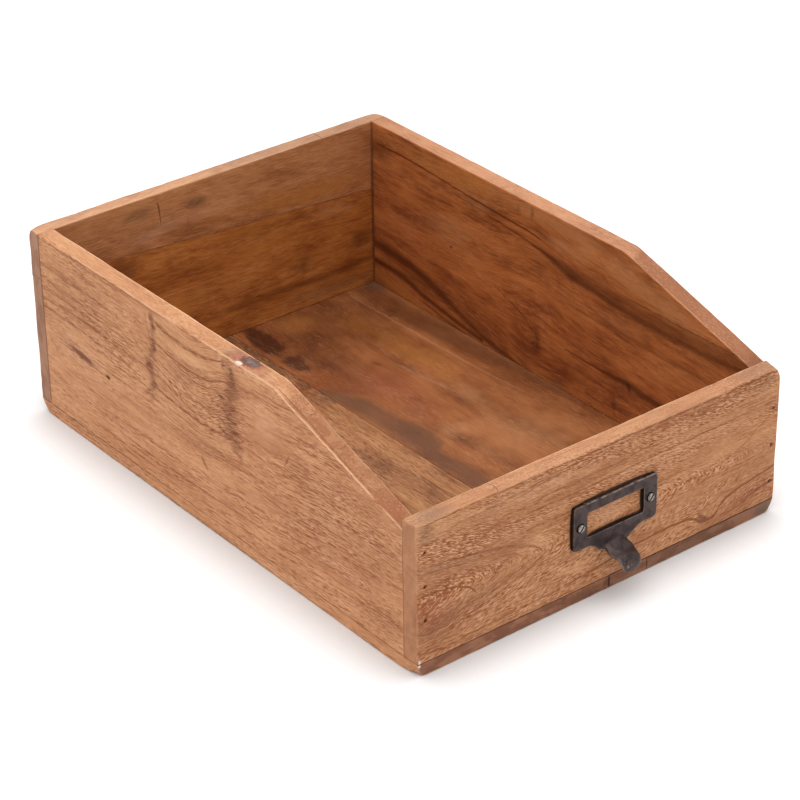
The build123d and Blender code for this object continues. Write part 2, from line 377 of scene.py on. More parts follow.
def board_attributes(board, points, outward, worn, seed):
    """What a board's material reads from each point."""
    along, across = board["grain"], board["across"]
    through = 3 - along - across
    grain = np.stack([points[:, along], points[:, across], points[:, through]], axis=1)
    if board["bends"]:
        grain = board["bends"](grain)
    axis, end = SIDES[board["inner"]]
    inside = smooth_step(0.35, 0.8, outward[:, axis] * (2 * end - 1))
    top = smooth_step(0.6, 0.95, outward[:, 2]) * (1 - inside)
    busy = np.ones(len(points))
    for u, v, half_u, half_v, change in board["busy"]:
        away = ((points[:, along] - u) / half_u) ** 2 + ((points[:, across] - v) / half_v) ** 2
        busy += change * np.exp(-away)
    stain, stain_share = paint_stains(board["stains"], points, along, across)
    top_stain, top_share = paint_stains(board["top_stains"], points, along, through)
    stain_share *= (1 - top) * (1 - board["clean_outside"] * (1 - inside))
    top_share *= top
    joined = np.maximum(stain_share + top_share, 1e-6)
    return {
        "grain": grain + grain_shift * seed,
        "edge": worn,
        "inside": inside,
        "top": top,
        "end_grain": smooth_step(0.5, 0.85, np.abs(outward[:, along])),
        "busy": np.clip(busy, 0, 2.5),
        "stain": (stain * stain_share[:, None] + top_stain * top_share[:, None]) / joined[:, None],
        "stain_share": stain_share + top_share,
    }


def add_attributes(mesh, attributes):
    """Stores named values on a mesh's points."""
    for key, values in attributes.items():
        kind = "FLOAT_VECTOR" if values.ndim == 2 else "FLOAT"
        field = "vector" if values.ndim == 2 else "value"
        made = mesh.attributes.new(key, kind, "POINT")
        made.data.foreach_set(field, values.astype(np.float32).ravel())


def build_board(board, seed):
    """A board as a smooth-shaded object, with what its material reads from each point."""
    points, quads, outward, worn = board_shape(board, seed)
    name = board["node"] + "_wood"
    mesh = bpy.data.meshes.new(name)
    mesh.from_pydata((points * MM).tolist(), [], quads.tolist())
    mesh.polygons.foreach_set("use_smooth", np.ones(len(mesh.polygons), bool))
    add_attributes(mesh, board_attributes(board, points, outward, worn, seed))
    mesh.validate()
    piece = bpy.data.objects.new(name, mesh)
    bpy.context.scene.collection.objects.link(piece)
    return piece


def colour(red, green, blue):
    """Linear colour from the 0 to 255 values that a screen shows."""
    linear = []
    for value in (red / 255, green / 255, blue / 255):
        linear.append(value / 12.92 if value <= 0.04045 else ((value + 0.055) / 1.055) ** 2.4)
    return (*linear, 1.0)


class Graph:
    """Writes a material's or a world's nodes from plain calls, which return the new outputs."""

    def __init__(self, owner):
        owner.use_nodes = True
        self.owner = owner
        self.tree = owner.node_tree
        self.shader = self.tree.nodes.get("Principled BSDF") or self.tree.nodes["Background"]

    def set(self, socket, value):
        if isinstance(value, bpy.types.NodeSocket):
            self.tree.links.new(value, socket)
        else:
            socket.default_value = value

    def give(self, name, value):
        """Sets or links one input of the shader."""
        self.set(self.shader.inputs[name], value)

    def node(self, kind, inputs=(), **settings):
        made = self.tree.nodes.new("ShaderNode" + kind)
        for key, value in settings.items():
            setattr(made, key, value)
        for key, value in dict(inputs).items():
            self.set(made.inputs[key], value)
        return made

    def attribute(self, name, output="Fac"):
        return self.node("Attribute", attribute_name=name).outputs[output]

    def math(self, operation, a, b=0.0, c=0.0, clamp=False):
        inputs = {0: a, 1: b, 2: c}
        return self.node("Math", inputs, operation=operation, use_clamp=clamp).outputs[0]

    def product(self, *factors, clamp=False):
        result = factors[0]
        for factor in factors[1:]:
            result = self.math("MULTIPLY", result, factor, clamp=clamp)
        return result

    def scaled(self, vector, x, y, z):
        inputs = {0: vector, 1: (x, y, z)}
        return self.node("VectorMath", inputs, operation="MULTIPLY").outputs[0]

    def length(self, vector):
        return self.node("VectorMath", {0: vector}, operation="LENGTH").outputs["Value"]

    def turned(self, vector, angle):
        inputs = {0: vector, "Angle": angle}
        return self.node("VectorRotate", inputs, rotation_type="Z_AXIS").outputs[0]

    def position(self):
        """Places on the object in millimetres."""
        return self.scaled(self.node("TexCoord").outputs["Object"], *[1 / MM] * 3)

    def noise(self, vector, x, y, z, detail=2.0, roughness=0.5):
        """Noise whose bumps measure x, y and z along the vector's axes."""
        inputs = {
            "Vector": self.scaled(vector, 1 / x, 1 / y, 1 / z),
            "Scale": 1.0,
            "Detail": detail,
            "Roughness": roughness,
        }
        return self.node("TexNoise", inputs).outputs[0]

    def range(self, value, low, high, to_low=0.0, to_high=1.0, smooth=True):
        kind = "SMOOTHSTEP" if smooth else "LINEAR"
        inputs = {0: value, 1: low, 2: high, 3: to_low, 4: to_high}
        return self.node("MapRange", inputs, interpolation_type=kind, clamp=True).outputs[0]

    def mix(self, share, a, b):
        made = self.node("Mix", data_type="RGBA")
        self.set(made.inputs[0], share)
        self.set(made.inputs[6], a)
        self.set(made.inputs[7], b)
        return made.outputs[2]

    def ramp(self, value, stops):
        made = self.node("ValToRGB", {0: value})
        elements = made.color_ramp.elements
        while len(elements) < len(stops):
            elements.new(0.5)
        for element, (place, shade) in zip(elements, stops):
            element.position = place
            element.color = shade
        return made.outputs[0]

    def curve(self, value, places):
        """A smooth curve through (0 to 1, 0 to 1) places."""
        made = self.node("FloatCurve", {1: value})
        points = made.mapping.curves[0].points
        while len(points) < len(places):
            points.new(0.5, 0.5)
        for point, place in zip(points, places):
            point.location = place
        made.mapping.update()
        return made.outputs[0]

    def bump(self, height, strength=1.0):
        """Surface relief from a height in millimetres."""
        inputs = {"Height": height, "Distance": MM, "Strength": strength}
        return self.node("Bump", inputs).outputs[0]


class Marks:
    """Paints listed marks over a board's shade, in the plane of its broad faces or its top."""

    def __init__(self, graph, board, dash, shade):
        self.graph = graph
        self.shade = shade
        position = graph.position()
        split = graph.node("SeparateXYZ", {0: position})
        through = 3 - board["grain"] - board["across"]
        wander = graph.math("SUBTRACT", graph.noise(position, 6, 6, 6, detail=4.0), 0.5)
        self.tatter = graph.math("SUBTRACT", graph.noise(position, 2.6, 2.6, 2.0, detail=4.0), 0.5)
        self.along = split.outputs[board["grain"]]
        self.across = graph.math("MULTIPLY_ADD", wander, 2.0, split.outputs[board["across"]])
        self.through = graph.math("MULTIPLY_ADD", wander, 0.8, split.outputs[through])
        plane = {0: self.along, 1: self.across, 2: 0.0}
        self.plane = graph.node("CombineXYZ", plane).outputs[0]
        self.position = position
        self.dash = graph.range(dash, 0.0, 1.0, 0.3, 1.0)
        self.top = graph.attribute("top")
        ends = graph.range(graph.attribute("end_grain"), 0.0, 1.0, 1.0, 0.15)
        self.broad_faces = graph.product(ends, graph.range(self.top, 0.0, 1.0, 1.0, 0.2))

    def paint(self, mark_colour, mask, broken):
        """Mixes a mark into the shade. Broken ones fade where the grain's dashes do."""
        if broken:
            mask = self.graph.product(mask, self.dash)
        self.shade = self.graph.mix(mask, self.shade, mark_colour)

    def streak(self, mark_colour, strength, *points, soft=0.8, crossing=False, broken=True, on_top=False):
        """A line of (place, height, half width) points along the grain, or crossing it."""
        graph = self.graph
        across, faces = (self.through, self.top) if on_top else (self.across, self.broad_faces)
        run, rise = (across, self.along) if crossing else (self.along, across)
        places, heights, widths = zip(*sorted(points))
        start, end = places[0], places[-1]
        low, high = min(heights) - 1, max(heights) + 1
        widest = max(widths)
        steps = [(place - start) / (end - start) for place in places]
        share = graph.range(run, start, end, smooth=False)
        level = [(height - low) / (high - low) for height in heights]
        middle = graph.curve(share, list(zip(steps, level)))
        middle = graph.math("MULTIPLY_ADD", middle, high - low, low)
        half = graph.curve(share, list(zip(steps, [width / widest for width in widths])))
        half = graph.math("MULTIPLY", half, widest)
        away = graph.math("ABSOLUTE", graph.math("SUBTRACT", rise, middle))
        away = graph.math("DIVIDE", away, graph.math("MAXIMUM", half, 0.01))
        mask = graph.range(away, 1.0, 1.0 - soft, 0.0, strength)
        beyond = graph.math("MAXIMUM", graph.math("SUBTRACT", start, run), graph.math("SUBTRACT", run, end))
        faded = graph.range(beyond, 0.0, 1.5, 1.0, 0.0)
        mask = graph.product(mask, graph.math("MULTIPLY", half, 3.0, clamp=True), faded, faces)
        self.paint(mark_colour, mask, broken)

    def line(self, mark_colour, strength, *points, **options):
        """A streak that the grain doesn't break."""
        self.streak(mark_colour, strength, *points, broken=False, **options)

    def blot(self, mark_colour, strength, place, size, turn=0.0, soft=0.5, ragged=0.8, broken=False):
        """A soft-rimmed ellipse: its middle, half sizes and turn in degrees."""
        inputs = {
            "Vector": self.plane,
            "Location": (*place, 0.0),
            "Rotation": (0.0, 0.0, math.radians(turn)),
            "Scale": (*size, 1.0),
        }
        mask = self.graph.product(self.rimmed(inputs, strength, soft, ragged), self.broad_faces)
        self.paint(mark_colour, mask, broken)

    def knot(self, mark_colour, strength, place, size, soft=0.5, ragged=0.8):
        """A soft-rimmed ball, for marks that go round an arris: its middle and half sizes."""
        inputs = {"Vector": self.position, "Location": place, "Scale": size}
        self.paint(mark_colour, self.rimmed(inputs, strength, soft, ragged), False)

    def rimmed(self, inputs, strength, soft, ragged):
        """The soft-rimmed mask of a blot or a knot."""
        local = self.graph.node("Mapping", inputs, vector_type="TEXTURE").outputs[0]
        away = self.graph.math("MULTIPLY_ADD", self.tatter, ragged, self.graph.length(local))
        return self.graph.range(away, 1.0, 1.0 - soft, 0.0, strength)

    def streaks(self, mark_colour, *rows):
        """Streaks of one colour. A row is a streak's strength and its points."""
        for row in rows:
            self.streak(mark_colour, *row)

    def blots(self, mark_colour, *rows, **options):
        """Blots of one colour. A row is a blot's strength, its middle, half sizes and turn."""
        for row in rows:
            self.blot(mark_colour, *row, **options)

    def knots(self, mark_colour, *rows, **options):
        """Knots of one colour. A row is a knot's strength, its middle and half sizes."""
        for row in rows:
            self.knot(mark_colour, *row, **options)


# Colours of the marks on the wood
DARK_LINE = colour(84, 44, 24)
SCAR = colour(106, 48, 16)
HEART = colour(82, 36, 12)
BURNT = colour(78, 38, 18)
BROWN = colour(132, 69, 30)
TAN = colour(206, 146, 98)
FRESH = colour(236, 178, 130)
GREY = colour(112, 88, 72)
FADED = colour(98, 66, 46)
RED_BROWN = colour(150, 78, 50)
PALE = colour(236, 184, 148)
BLACK = colour(44, 26, 20)
GOLD = colour(190, 124, 58)
CHALK = colour(238, 222, 212)
# Painted highlight along arrises
EDGE_HIGHLIGHT = colour(250, 198, 150)
KNOT_RED = colour(190, 112, 88)
KNOT_GREY = colour(118, 102, 98)


def wood_tone(graph, grain, look):
    """Soft variation around one half: wide bands along the grain, clouds and slanting figure."""
    layers = (
        (graph.noise(grain, 170, 20, 20, detail=2.0), "broad"),
        (graph.noise(grain, 95, 4.6, 4.6, detail=3.0, roughness=0.6), "band"),
        (graph.noise(grain, 34, 15, 15, detail=3.0), "cloud"),
        (graph.noise(graph.turned(grain, look["figure_turn"]), 12, 3.0, 6, detail=2.0), "figure"),
        (graph.noise(grain, 13, 0.45, 0.6, detail=1.0), "fibre"),
    )
    tone = 0.5
    for layer, weight in layers:
        tone = graph.math("MULTIPLY_ADD", graph.math("SUBTRACT", layer, 0.5), look[weight], tone)
    return tone


def grain_lines(graph, grain):
    """Dark lines of early wood, crowded in some zones, and the dashes that they break into."""
    line = graph.range(graph.noise(grain, 45, 1.25, 1.25, detail=2.0, roughness=0.6), 0.5, 0.62)
    short = graph.range(graph.noise(grain, 10, 0.75, 0.9, detail=1.0), 0.53, 0.66)
    zone = graph.range(graph.noise(grain, 80, 8, 8, detail=2.0), 0.42, 0.6, 0.15, 1.0)
    dash = graph.range(graph.noise(grain, 5.0, 0.8, 0.8, detail=1.0), 0.38, 0.56, 0.1, 1.0)
    short = graph.product(short, graph.math("MULTIPLY_ADD", zone, 0.5, 0.35))
    return graph.math("MAXIMUM", graph.product(line, zone, dash), short), dash


def grain_strength(graph, look, inside, end_grain):
    """How strongly lines and pores show: less on the oiled inside, the ends and the tops."""
    strength = graph.math("MULTIPLY_ADD", inside, -look["inner_smooth"], 1.0)
    strength = graph.product(strength, graph.range(end_grain, 0.0, 1.0, 1.0, 0.3))
    strength = graph.product(strength, graph.range(graph.attribute("top"), 0.0, 1.0, 1.0, look["top_rough"]))
    return graph.product(strength, graph.attribute("busy"))


def rub_and_highlight_share(graph, grain, look, inside):
    """How much tops and arrises are made paler: rubbed arrises, a crisp painted highlight close to each
    arris, and tops paled partly by sanding and partly as painted light.
    """
    rubbed = graph.noise(grain, 22, 7, 7, detail=3.0)
    edge = graph.attribute("edge")
    rub = graph.product(graph.range(edge, 1.5, 0.2), graph.range(rubbed, 0.4, 0.62, 0.0, look["rub"]))
    # Painted highlight: a crisp glint close to each arris
    glint = graph.product(graph.range(edge, 0.95, 0.5), graph.range(rubbed, 0.36, 0.54, 0.0, look["glint"]))
    rub = graph.product(graph.math("MAXIMUM", rub, glint), graph.range(inside, 0.0, 1.0, 1.0, 0.3))
    # Tops paler, partly from sanding and partly as painted light
    return graph.math("MAXIMUM", rub, graph.product(graph.attribute("top"), look["top_pale"]))


def wood_material(board):
    """One board's wood: tone, lines, pores and flecks along its grain, its marks, its wear, and painted
    highlights on its arrises and tops.
    """
    graph = Graph(bpy.data.materials.new(board["node"] + "_grain"))
    grain = graph.attribute("grain", "Vector")
    inside = graph.attribute("inside")
    end_grain = graph.attribute("end_grain")
    look = board["look"]

    tone = wood_tone(graph, grain, look)
    stops = (0.3, 0.5, 0.7)
    outer, inner = (graph.ramp(tone, list(zip(stops, look[face]))) for face in ("outer", "inner"))
    shade = graph.mix(inside, outer, inner)
    shade = graph.mix(graph.attribute("stain_share"), shade, graph.attribute("stain", "Color"))

    line_shade = graph.mix(inside, look["line_outer"], look["line_inner"])
    strength = grain_strength(graph, look, inside, end_grain)
    lines, dash = grain_lines(graph, grain)
    line_share = graph.product(lines, strength, look["lines"], clamp=True)
    shade = graph.mix(line_share, shade, line_shade)

    turned = graph.turned(grain, look["pore_turn"])
    pore_noise = graph.noise(turned, look["pore_length"], 0.5, 0.6, detail=1.0)
    crowd = graph.range(graph.noise(grain, 70, 11, 11, detail=2.0), 0.4, 0.6, 0.35, 1.0)
    pores = graph.product(graph.range(pore_noise, 0.54, 0.66), crowd, strength)
    pore_share = graph.product(pores, look["pores"], clamp=True)
    shade = graph.mix(pore_share, shade, line_shade)
    flecks = graph.product(graph.range(pore_noise, 0.46, 0.36), crowd, strength)
    shade = graph.mix(graph.product(flecks, look["flecks"], clamp=True), shade, PALE)

    # End grain drinks more oil
    end_noise = graph.noise(grain, 30, 12, 5, detail=3.0)
    end_shade = graph.mix(graph.range(end_noise, 0.38, 0.62), *look["end"])
    shade = graph.mix(graph.product(end_grain, look["end_share"]), shade, end_shade)

    marks = Marks(graph, board, dash, shade)
    board["marks"](marks)
    # Paler on rubbed arrises, with painted highlights along arrises and on tops
    shade = graph.mix(rub_and_highlight_share(graph, grain, look, inside), marks.shade, PALE)
    graph.give("Base Color", shade)
    graph.give("Specular IOR Level", 0.3)

    gloss = graph.math("MULTIPLY_ADD", inside, look["inner_gloss"], 0.66)
    gloss = graph.math("MULTIPLY_ADD", graph.math("SUBTRACT", tone, 0.5), 0.2, gloss)
    graph.give("Roughness", graph.math("MULTIPLY_ADD", pore_share, 0.2, gloss))

    height = graph.product(pore_noise, strength, -0.8)
    height = graph.math("MULTIPLY_ADD", line_share, -0.4, height)
    graph.give("Normal", graph.bump(height, look["relief"]))
    return graph.owner


def base_look(**changes):
    """What a sanded and oiled old board looks like. Each board says how it differs."""
    look = {
        "outer": (colour(184, 121, 78), colour(210, 149, 104), colour(224, 166, 121)),
        "inner": (colour(112, 58, 28), colour(164, 94, 50), colour(196, 122, 70)),
        "line_outer": colour(147, 79, 34),
        "line_inner": colour(84, 40, 20),
        "end": (colour(160, 108, 80), colour(192, 142, 110)),
        "end_share": 0.7,
        "broad": 0.45,
        "band": 0.35,
        "cloud": 0.5,
        "figure": 0.2,
        "figure_turn": 0.0,
        "fibre": 0.45,
        "lines": 0.95,
        "pores": 0.75,
        "pore_length": 4.5,
        "pore_turn": 0.0,
        "flecks": 0.35,
        "inner_smooth": 0.6,
        "inner_gloss": -0.2,
        "rub": 0.35,
        # Strength of the painted highlight close to arrises, and how much tops are paled, partly as painted
        # light
        "glint": 0.5,
        "top_pale": 0.04,
        "top_rough": 0.6,
        "relief": 0.5,
    }
    look.update(changes)
    return look


def left_bends(grain):
    """Grain sags between the two scars and climbs towards the front."""
    y, z, x = grain.T
    sag = 8.0 * np.exp(-(((y - 15) / 26) ** 2)) * smooth_step(42, 66, z)
    climb = 0.09 * np.maximum(0, -60 - y)
    return np.stack([y, z + sag - climb + 2.0 * np.sin(y / 47.0), x], axis=1)


# Dark spots of the two scars: place along and up, half sizes, turn in degrees
left_scars = (
    (53, 112, 2.4, 3.4, 0), (50, 107, 4.0, 2.2, 10), (52, 98, 5.5, 2.2, -12), (50, 93, 3.4, 2.8, -4),
    (57, 81, 5.5, 2.4, 8), (53, 76, 3.0, 1.6, 0), (51, 70.5, 6.5, 2.8, 12), (59, 63, 6.0, 3.0, -40),
    (-15, 112, 3.0, 4.4, 5), (-22, 109, 2.6, 5.0, -12), (-24, 104, 3.4, 3.0, 35), (-18, 97, 6.0, 1.8, -10),
    (-11, 91, 7.0, 1.6, 10), (-22, 88, 6.0, 1.8, -8), (-12, 84, 7.5, 1.6, 12), (-22, 80, 6.0, 1.8, 4),
    (-10, 77, 8.0, 1.6, 8), (-24, 74, 6.0, 2.4, 0), (-12, 70.5, 8.0, 2.6, 8), (-26, 67, 6.5, 2.2, 10),
)
# The bands that the two scars' spots lie in: height, place along, half width
left_scar_bands = (
    [(57, 60, 1.5), (66, 54, 5.0), (82, 55, 4.0), (98, 51, 4.5), (115, 52, 2.4)],
    [(60, -28, 2.0), (72, -20, 10.0), (88, -18, 8.0), (101, -22, 8.0), (116, -18, 6.0)],
)
# Where the painted highlights along the left board's arrises and the dark line beside one run
left_arris = [(y, float(left_top(0.0, y)) - 0.5, 0.48) for y in np.linspace(-137, -20, 13)]
left_arris_dark_line = [(-128, -123.6, 0.1), (-100, -123.0, 0.5), (-75, -122.8, 0.5), (-60, -123.0, 0.1)]
left_inner_arris = [(-62, -114.8, 0.1), (-40, -114.9, 0.6), (60, -114.8, 0.5), (163, -114.8, 0.5)]
# Two nicks across its top edge
left_nicks = (
    [(-121, -80, 0.3), (-118, -83, 0.5), (-115, -82, 0.3)],
    [(-123, -106, 0.3), (-118, -108, 0.5), (-115, -106, 0.2)],
)


def left_marks(marks):
    """Two scars across the grain, a bark pocket, a nail hole, a knot, dark streaks and painted highlights on
    the arrises.
    """
    for band in left_scar_bands:
        marks.streak(SCAR, 0.55, *band, soft=1.0, crossing=True)
    for y, z, half_y, half_z, turn in left_scars:
        marks.blot(SCAR, 0.9, (y, z), (half_y, half_z), turn, soft=1.0, ragged=1.2, broken=True)
    # Painted highlights along the outer and inner top arrises
    marks.line(EDGE_HIGHLIGHT, 0.65, (5, 117.4, 0.2), *left_arris, soft=0.6)
    marks.line(EDGE_HIGHLIGHT, 0.7, *left_inner_arris, soft=0.7, on_top=True)
    # A dark line beside the outer arris on the slope's top
    marks.line(BROWN, 0.8, *left_arris_dark_line, soft=0.7, on_top=True)
    for nick in left_nicks:
        marks.line(SCAR, 0.6, *nick, crossing=True, on_top=True)
    marks.streak(BROWN, 0.35, (45, 60, 0.6), (10, 55, 2.6), (-40, 54, 2.2), (-100, 60, 0.8), soft=1.0)
    marks.line(DARK_LINE, 0.7, (12, 164.5, 0.7), (118, 164.5, 0.9), crossing=True)
    marks.streak(BROWN, 0.6, (114, 58, 0.3), (100, 55, 0.6), (90, 52, 0.2), crossing=True)
    marks.streaks(
        BROWN,
        (0.5, (165, 100, 2.4), (140, 101, 3.0), (112, 99, 2.0), (80, 98, 0.2)),
        (0.5, (165, 93, 1.2), (135, 91, 2.4), (105, 92, 0.3)),
        (0.5, (165, 86, 1.8), (120, 85, 1.4), (90, 84, 0.2)),
        (0.55, (165, 79, 1.6), (125, 80, 2.4), (98, 79, 0.2)),
        (0.6, (165, 73, 1.2), (130, 73, 1.5), (62, 69, 0.7)),
        (0.8, (47, 110, 2.2), (18, 107, 2.0), (-8, 111, 1.0), (-15, 114, 0.2)),
        (0.8, (50, 98, 0.9), (14, 94, 1.5), (-14, 101, 1.2), (-24, 106, 0.3)),
        (0.6, (50, 83, 0.8), (12, 77, 1.2), (-20, 84, 0.9)),
        (0.85, (52, 69, 1.1), (14, 66, 1.6), (-12, 67, 1.6), (-30, 72, 1.0)),
    )
    marks.blot(SCAR, 0.8, (127, 56), (19, 3.2), 6, soft=0.7, ragged=0.6)
    marks.blots(
        SCAR,
        (0.45, (51, 110), (2.6, 4.5)), (0.45, (51, 94), (3.0, 5.5)),
        (0.5, (56, 81), (4.5, 2.6)), (0.5, (53, 69), (5.0, 3.4)),
        soft=0.9, ragged=1.8,
    )
    marks.blot(BLACK, 0.95, (100.3, 53.6), (2.6, 1.2), soft=0.4, ragged=0.3)
    marks.blot(BROWN, 0.7, (7, 41), (5.5, 1.6), 48, soft=0.8, ragged=1.2)
    marks.blot(BROWN, 0.7, (-69, 78), (6, 1.2), -62, soft=0.8, ragged=1.0)
    marks.streaks(
        BROWN,
        (0.6, (95, 31, 0.4), (55, 31, 0.9), (20, 31, 0.3)),
        (0.6, (98, 23, 0.3), (50, 22, 1.1), (0, 23, 1.2), (-60, 26, 0.4)),
    )
    marks.line(BROWN, 0.6, (165, 116.4, 0.5), (110, 116.6, 0.7), (40, 116.4, 0.5))
    marks.knot(KNOT_RED, 0.85, (-119.5, -30, 118), (7.0, 15.0, 8.0), soft=0.6, ragged=1.6)
    marks.knot(BLACK, 0.8, (-118.6, -31.5, 118), (5.2, 9.0, 3.2), soft=0.4, ragged=1.0)
    marks.knot(KNOT_GREY, 0.85, (-118.4, -31.5, 118), (4.0, 6.8, 3.0), soft=0.7, ragged=2.2)
    marks.knot(KNOT_RED, 0.3, (-118.8, -31.0, 118), (1.6, 2.8, 2.0), soft=0.8, ragged=1.5)
    marks.knots(
        CHALK,
        (0.95, (-124, -27.5, 118), (2.0, 3.2, 1.6)), (0.8, (-114.2, -27, 118), (0.8, 2.2, 0.8)),
        soft=0.4, ragged=1.2,
    )


def right_bends(grain):
    """Grain falls towards the floor at the back and closes softly round an eye."""
    y, z, x = grain.T
    fall = 0.16 * np.maximum(0, y - 20) * smooth_step(60, 10, z)
    eye = 5.0 * np.exp(-(((y - 12) / 30) ** 2)) * np.tanh((z - 34) / 14)
    return np.stack([y, z - fall - eye + 0.05 * np.maximum(0, 10 - y), x], axis=1)


def right_marks(marks):
    """Dark heartwood lines, an eye and a low fan of streaks on the right side board."""
    upper = [(160, 105, 0.4), (125, 104.8, 1.1), (102, 103.5, 0.7), (75, 101.8, 0.9), (50, 100.6, 1.3),
             (14, 99, 0.8), (8, 98, 0.1)]
    heart = [(56, 96, 0.5), (20, 93, 1.6), (0, 90, 3.0), (-18, 85.5, 4.8), (-45, 83, 3.6),
             (-76, 80.5, 4.6), (-115, 80.5, 4.4), (-162, 83, 5.0)]
    over_heart = [(15, 92, 1.0), (-20, 89, 4.4), (-60, 87, 6.0), (-110, 86.5, 6.5), (-162, 88, 5.0)]
    low_streak = [(166, 36, 5.4), (133, 34, 5.4), (105, 27.5, 5.4), (82, 20, 4.4), (60, 13.5, 4.0),
                  (30, 8.5, 3.0), (8, 6, 1.0)]
    lower_streak = [(166, 24, 3.4), (140, 23, 4.2), (117, 18, 3.8), (85, 13, 3.4), (60, 10, 2.4)]
    middle_streak = [(-15, 36, 0.6), (-45, 35.5, 1.8), (-62, 36, 3.6), (-85, 34, 4.6), (-130, 33, 4.0)]
    marks.line(HEART, 0.8, *upper)
    marks.streak(HEART, 0.3, (100, 99.5, 0.3), (83, 98, 0.9), (53, 96.5, 0.6))
    marks.line(HEART, 0.45, *over_heart, soft=1.0)
    marks.line(HEART, 0.7, *heart, soft=1.0)
    marks.streak(HEART, 0.5, (-60, 90.5, 0.3), (-100, 90, 1.0), (-150, 90.5, 0.8))
    marks.blot(BLACK, 0.5, (-18, 84), (7.5, 3.2), soft=0.8)
    marks.line(HEART, 0.3, (-10, 66, 0.6), (-70, 66, 3.0), (-120, 65, 3.0), (-160, 66, 1.5), soft=1.0)
    marks.line(HEART, 0.8, *middle_streak, soft=0.9)
    marks.blot(BLACK, 0.6, (-69, 34.5), (2.2, 5.0), -20, soft=0.7)
    marks.line(HEART, 0.75, *low_streak, soft=1.0)
    marks.line(HEART, 0.85, *lower_streak, soft=1.0)
    marks.line(HEART, 0.5, (120, 14, 0.3), (78, 8, 2.4), (50, 6, 0.5))
    marks.streak(HEART, 0.55, (50, 52, 0.3), (34, 47, 1.2), (20, 41, 1.6), (14, 34, 0.3))
    marks.blot(HEART, 0.5, (16, 112), (2.6, 6.0), soft=1.0, ragged=1.2)
    marks.blot(HEART, 0.3, (28, 110), (3.2, 5.0), soft=1.0, ragged=1.2)
    marks.blot(HEART, 0.6, (89, 62), (2.4, 1.5), soft=0.7)
    marks.blot(HEART, 0.5, (-57, 18), (2.8, 10.0), soft=1.0, ragged=1.0)
    marks.blot(HEART, 0.45, (10, 33), (4.0, 7.0), soft=1.0, ragged=2.2)


def front_bends(grain):
    """Nested arches open to the left, and a knot lifts the low lines on the right."""
    x, z, y = grain.T
    z0 = 44.0
    curve = (x + 42) + 0.19 * (z - z0) ** 2
    arch = 18.0 * smooth_step(-50, 10, curve)
    fold = np.sqrt((z - z0) ** 2 + 16) + arch
    knot = 5.0 * np.exp(-(((x - 72) / 9) ** 2)) * np.exp(-(((z - 21) / 10) ** 2))
    rise = -0.10 * np.maximum(0, x - 30) * smooth_step(45, 15, z)
    low = -0.09 * np.minimum(x + 60, 0) * smooth_step(30, 10, z)
    return np.stack([x, fold - knot - rise + low, y + 0.35 * (z - z0)], axis=1)


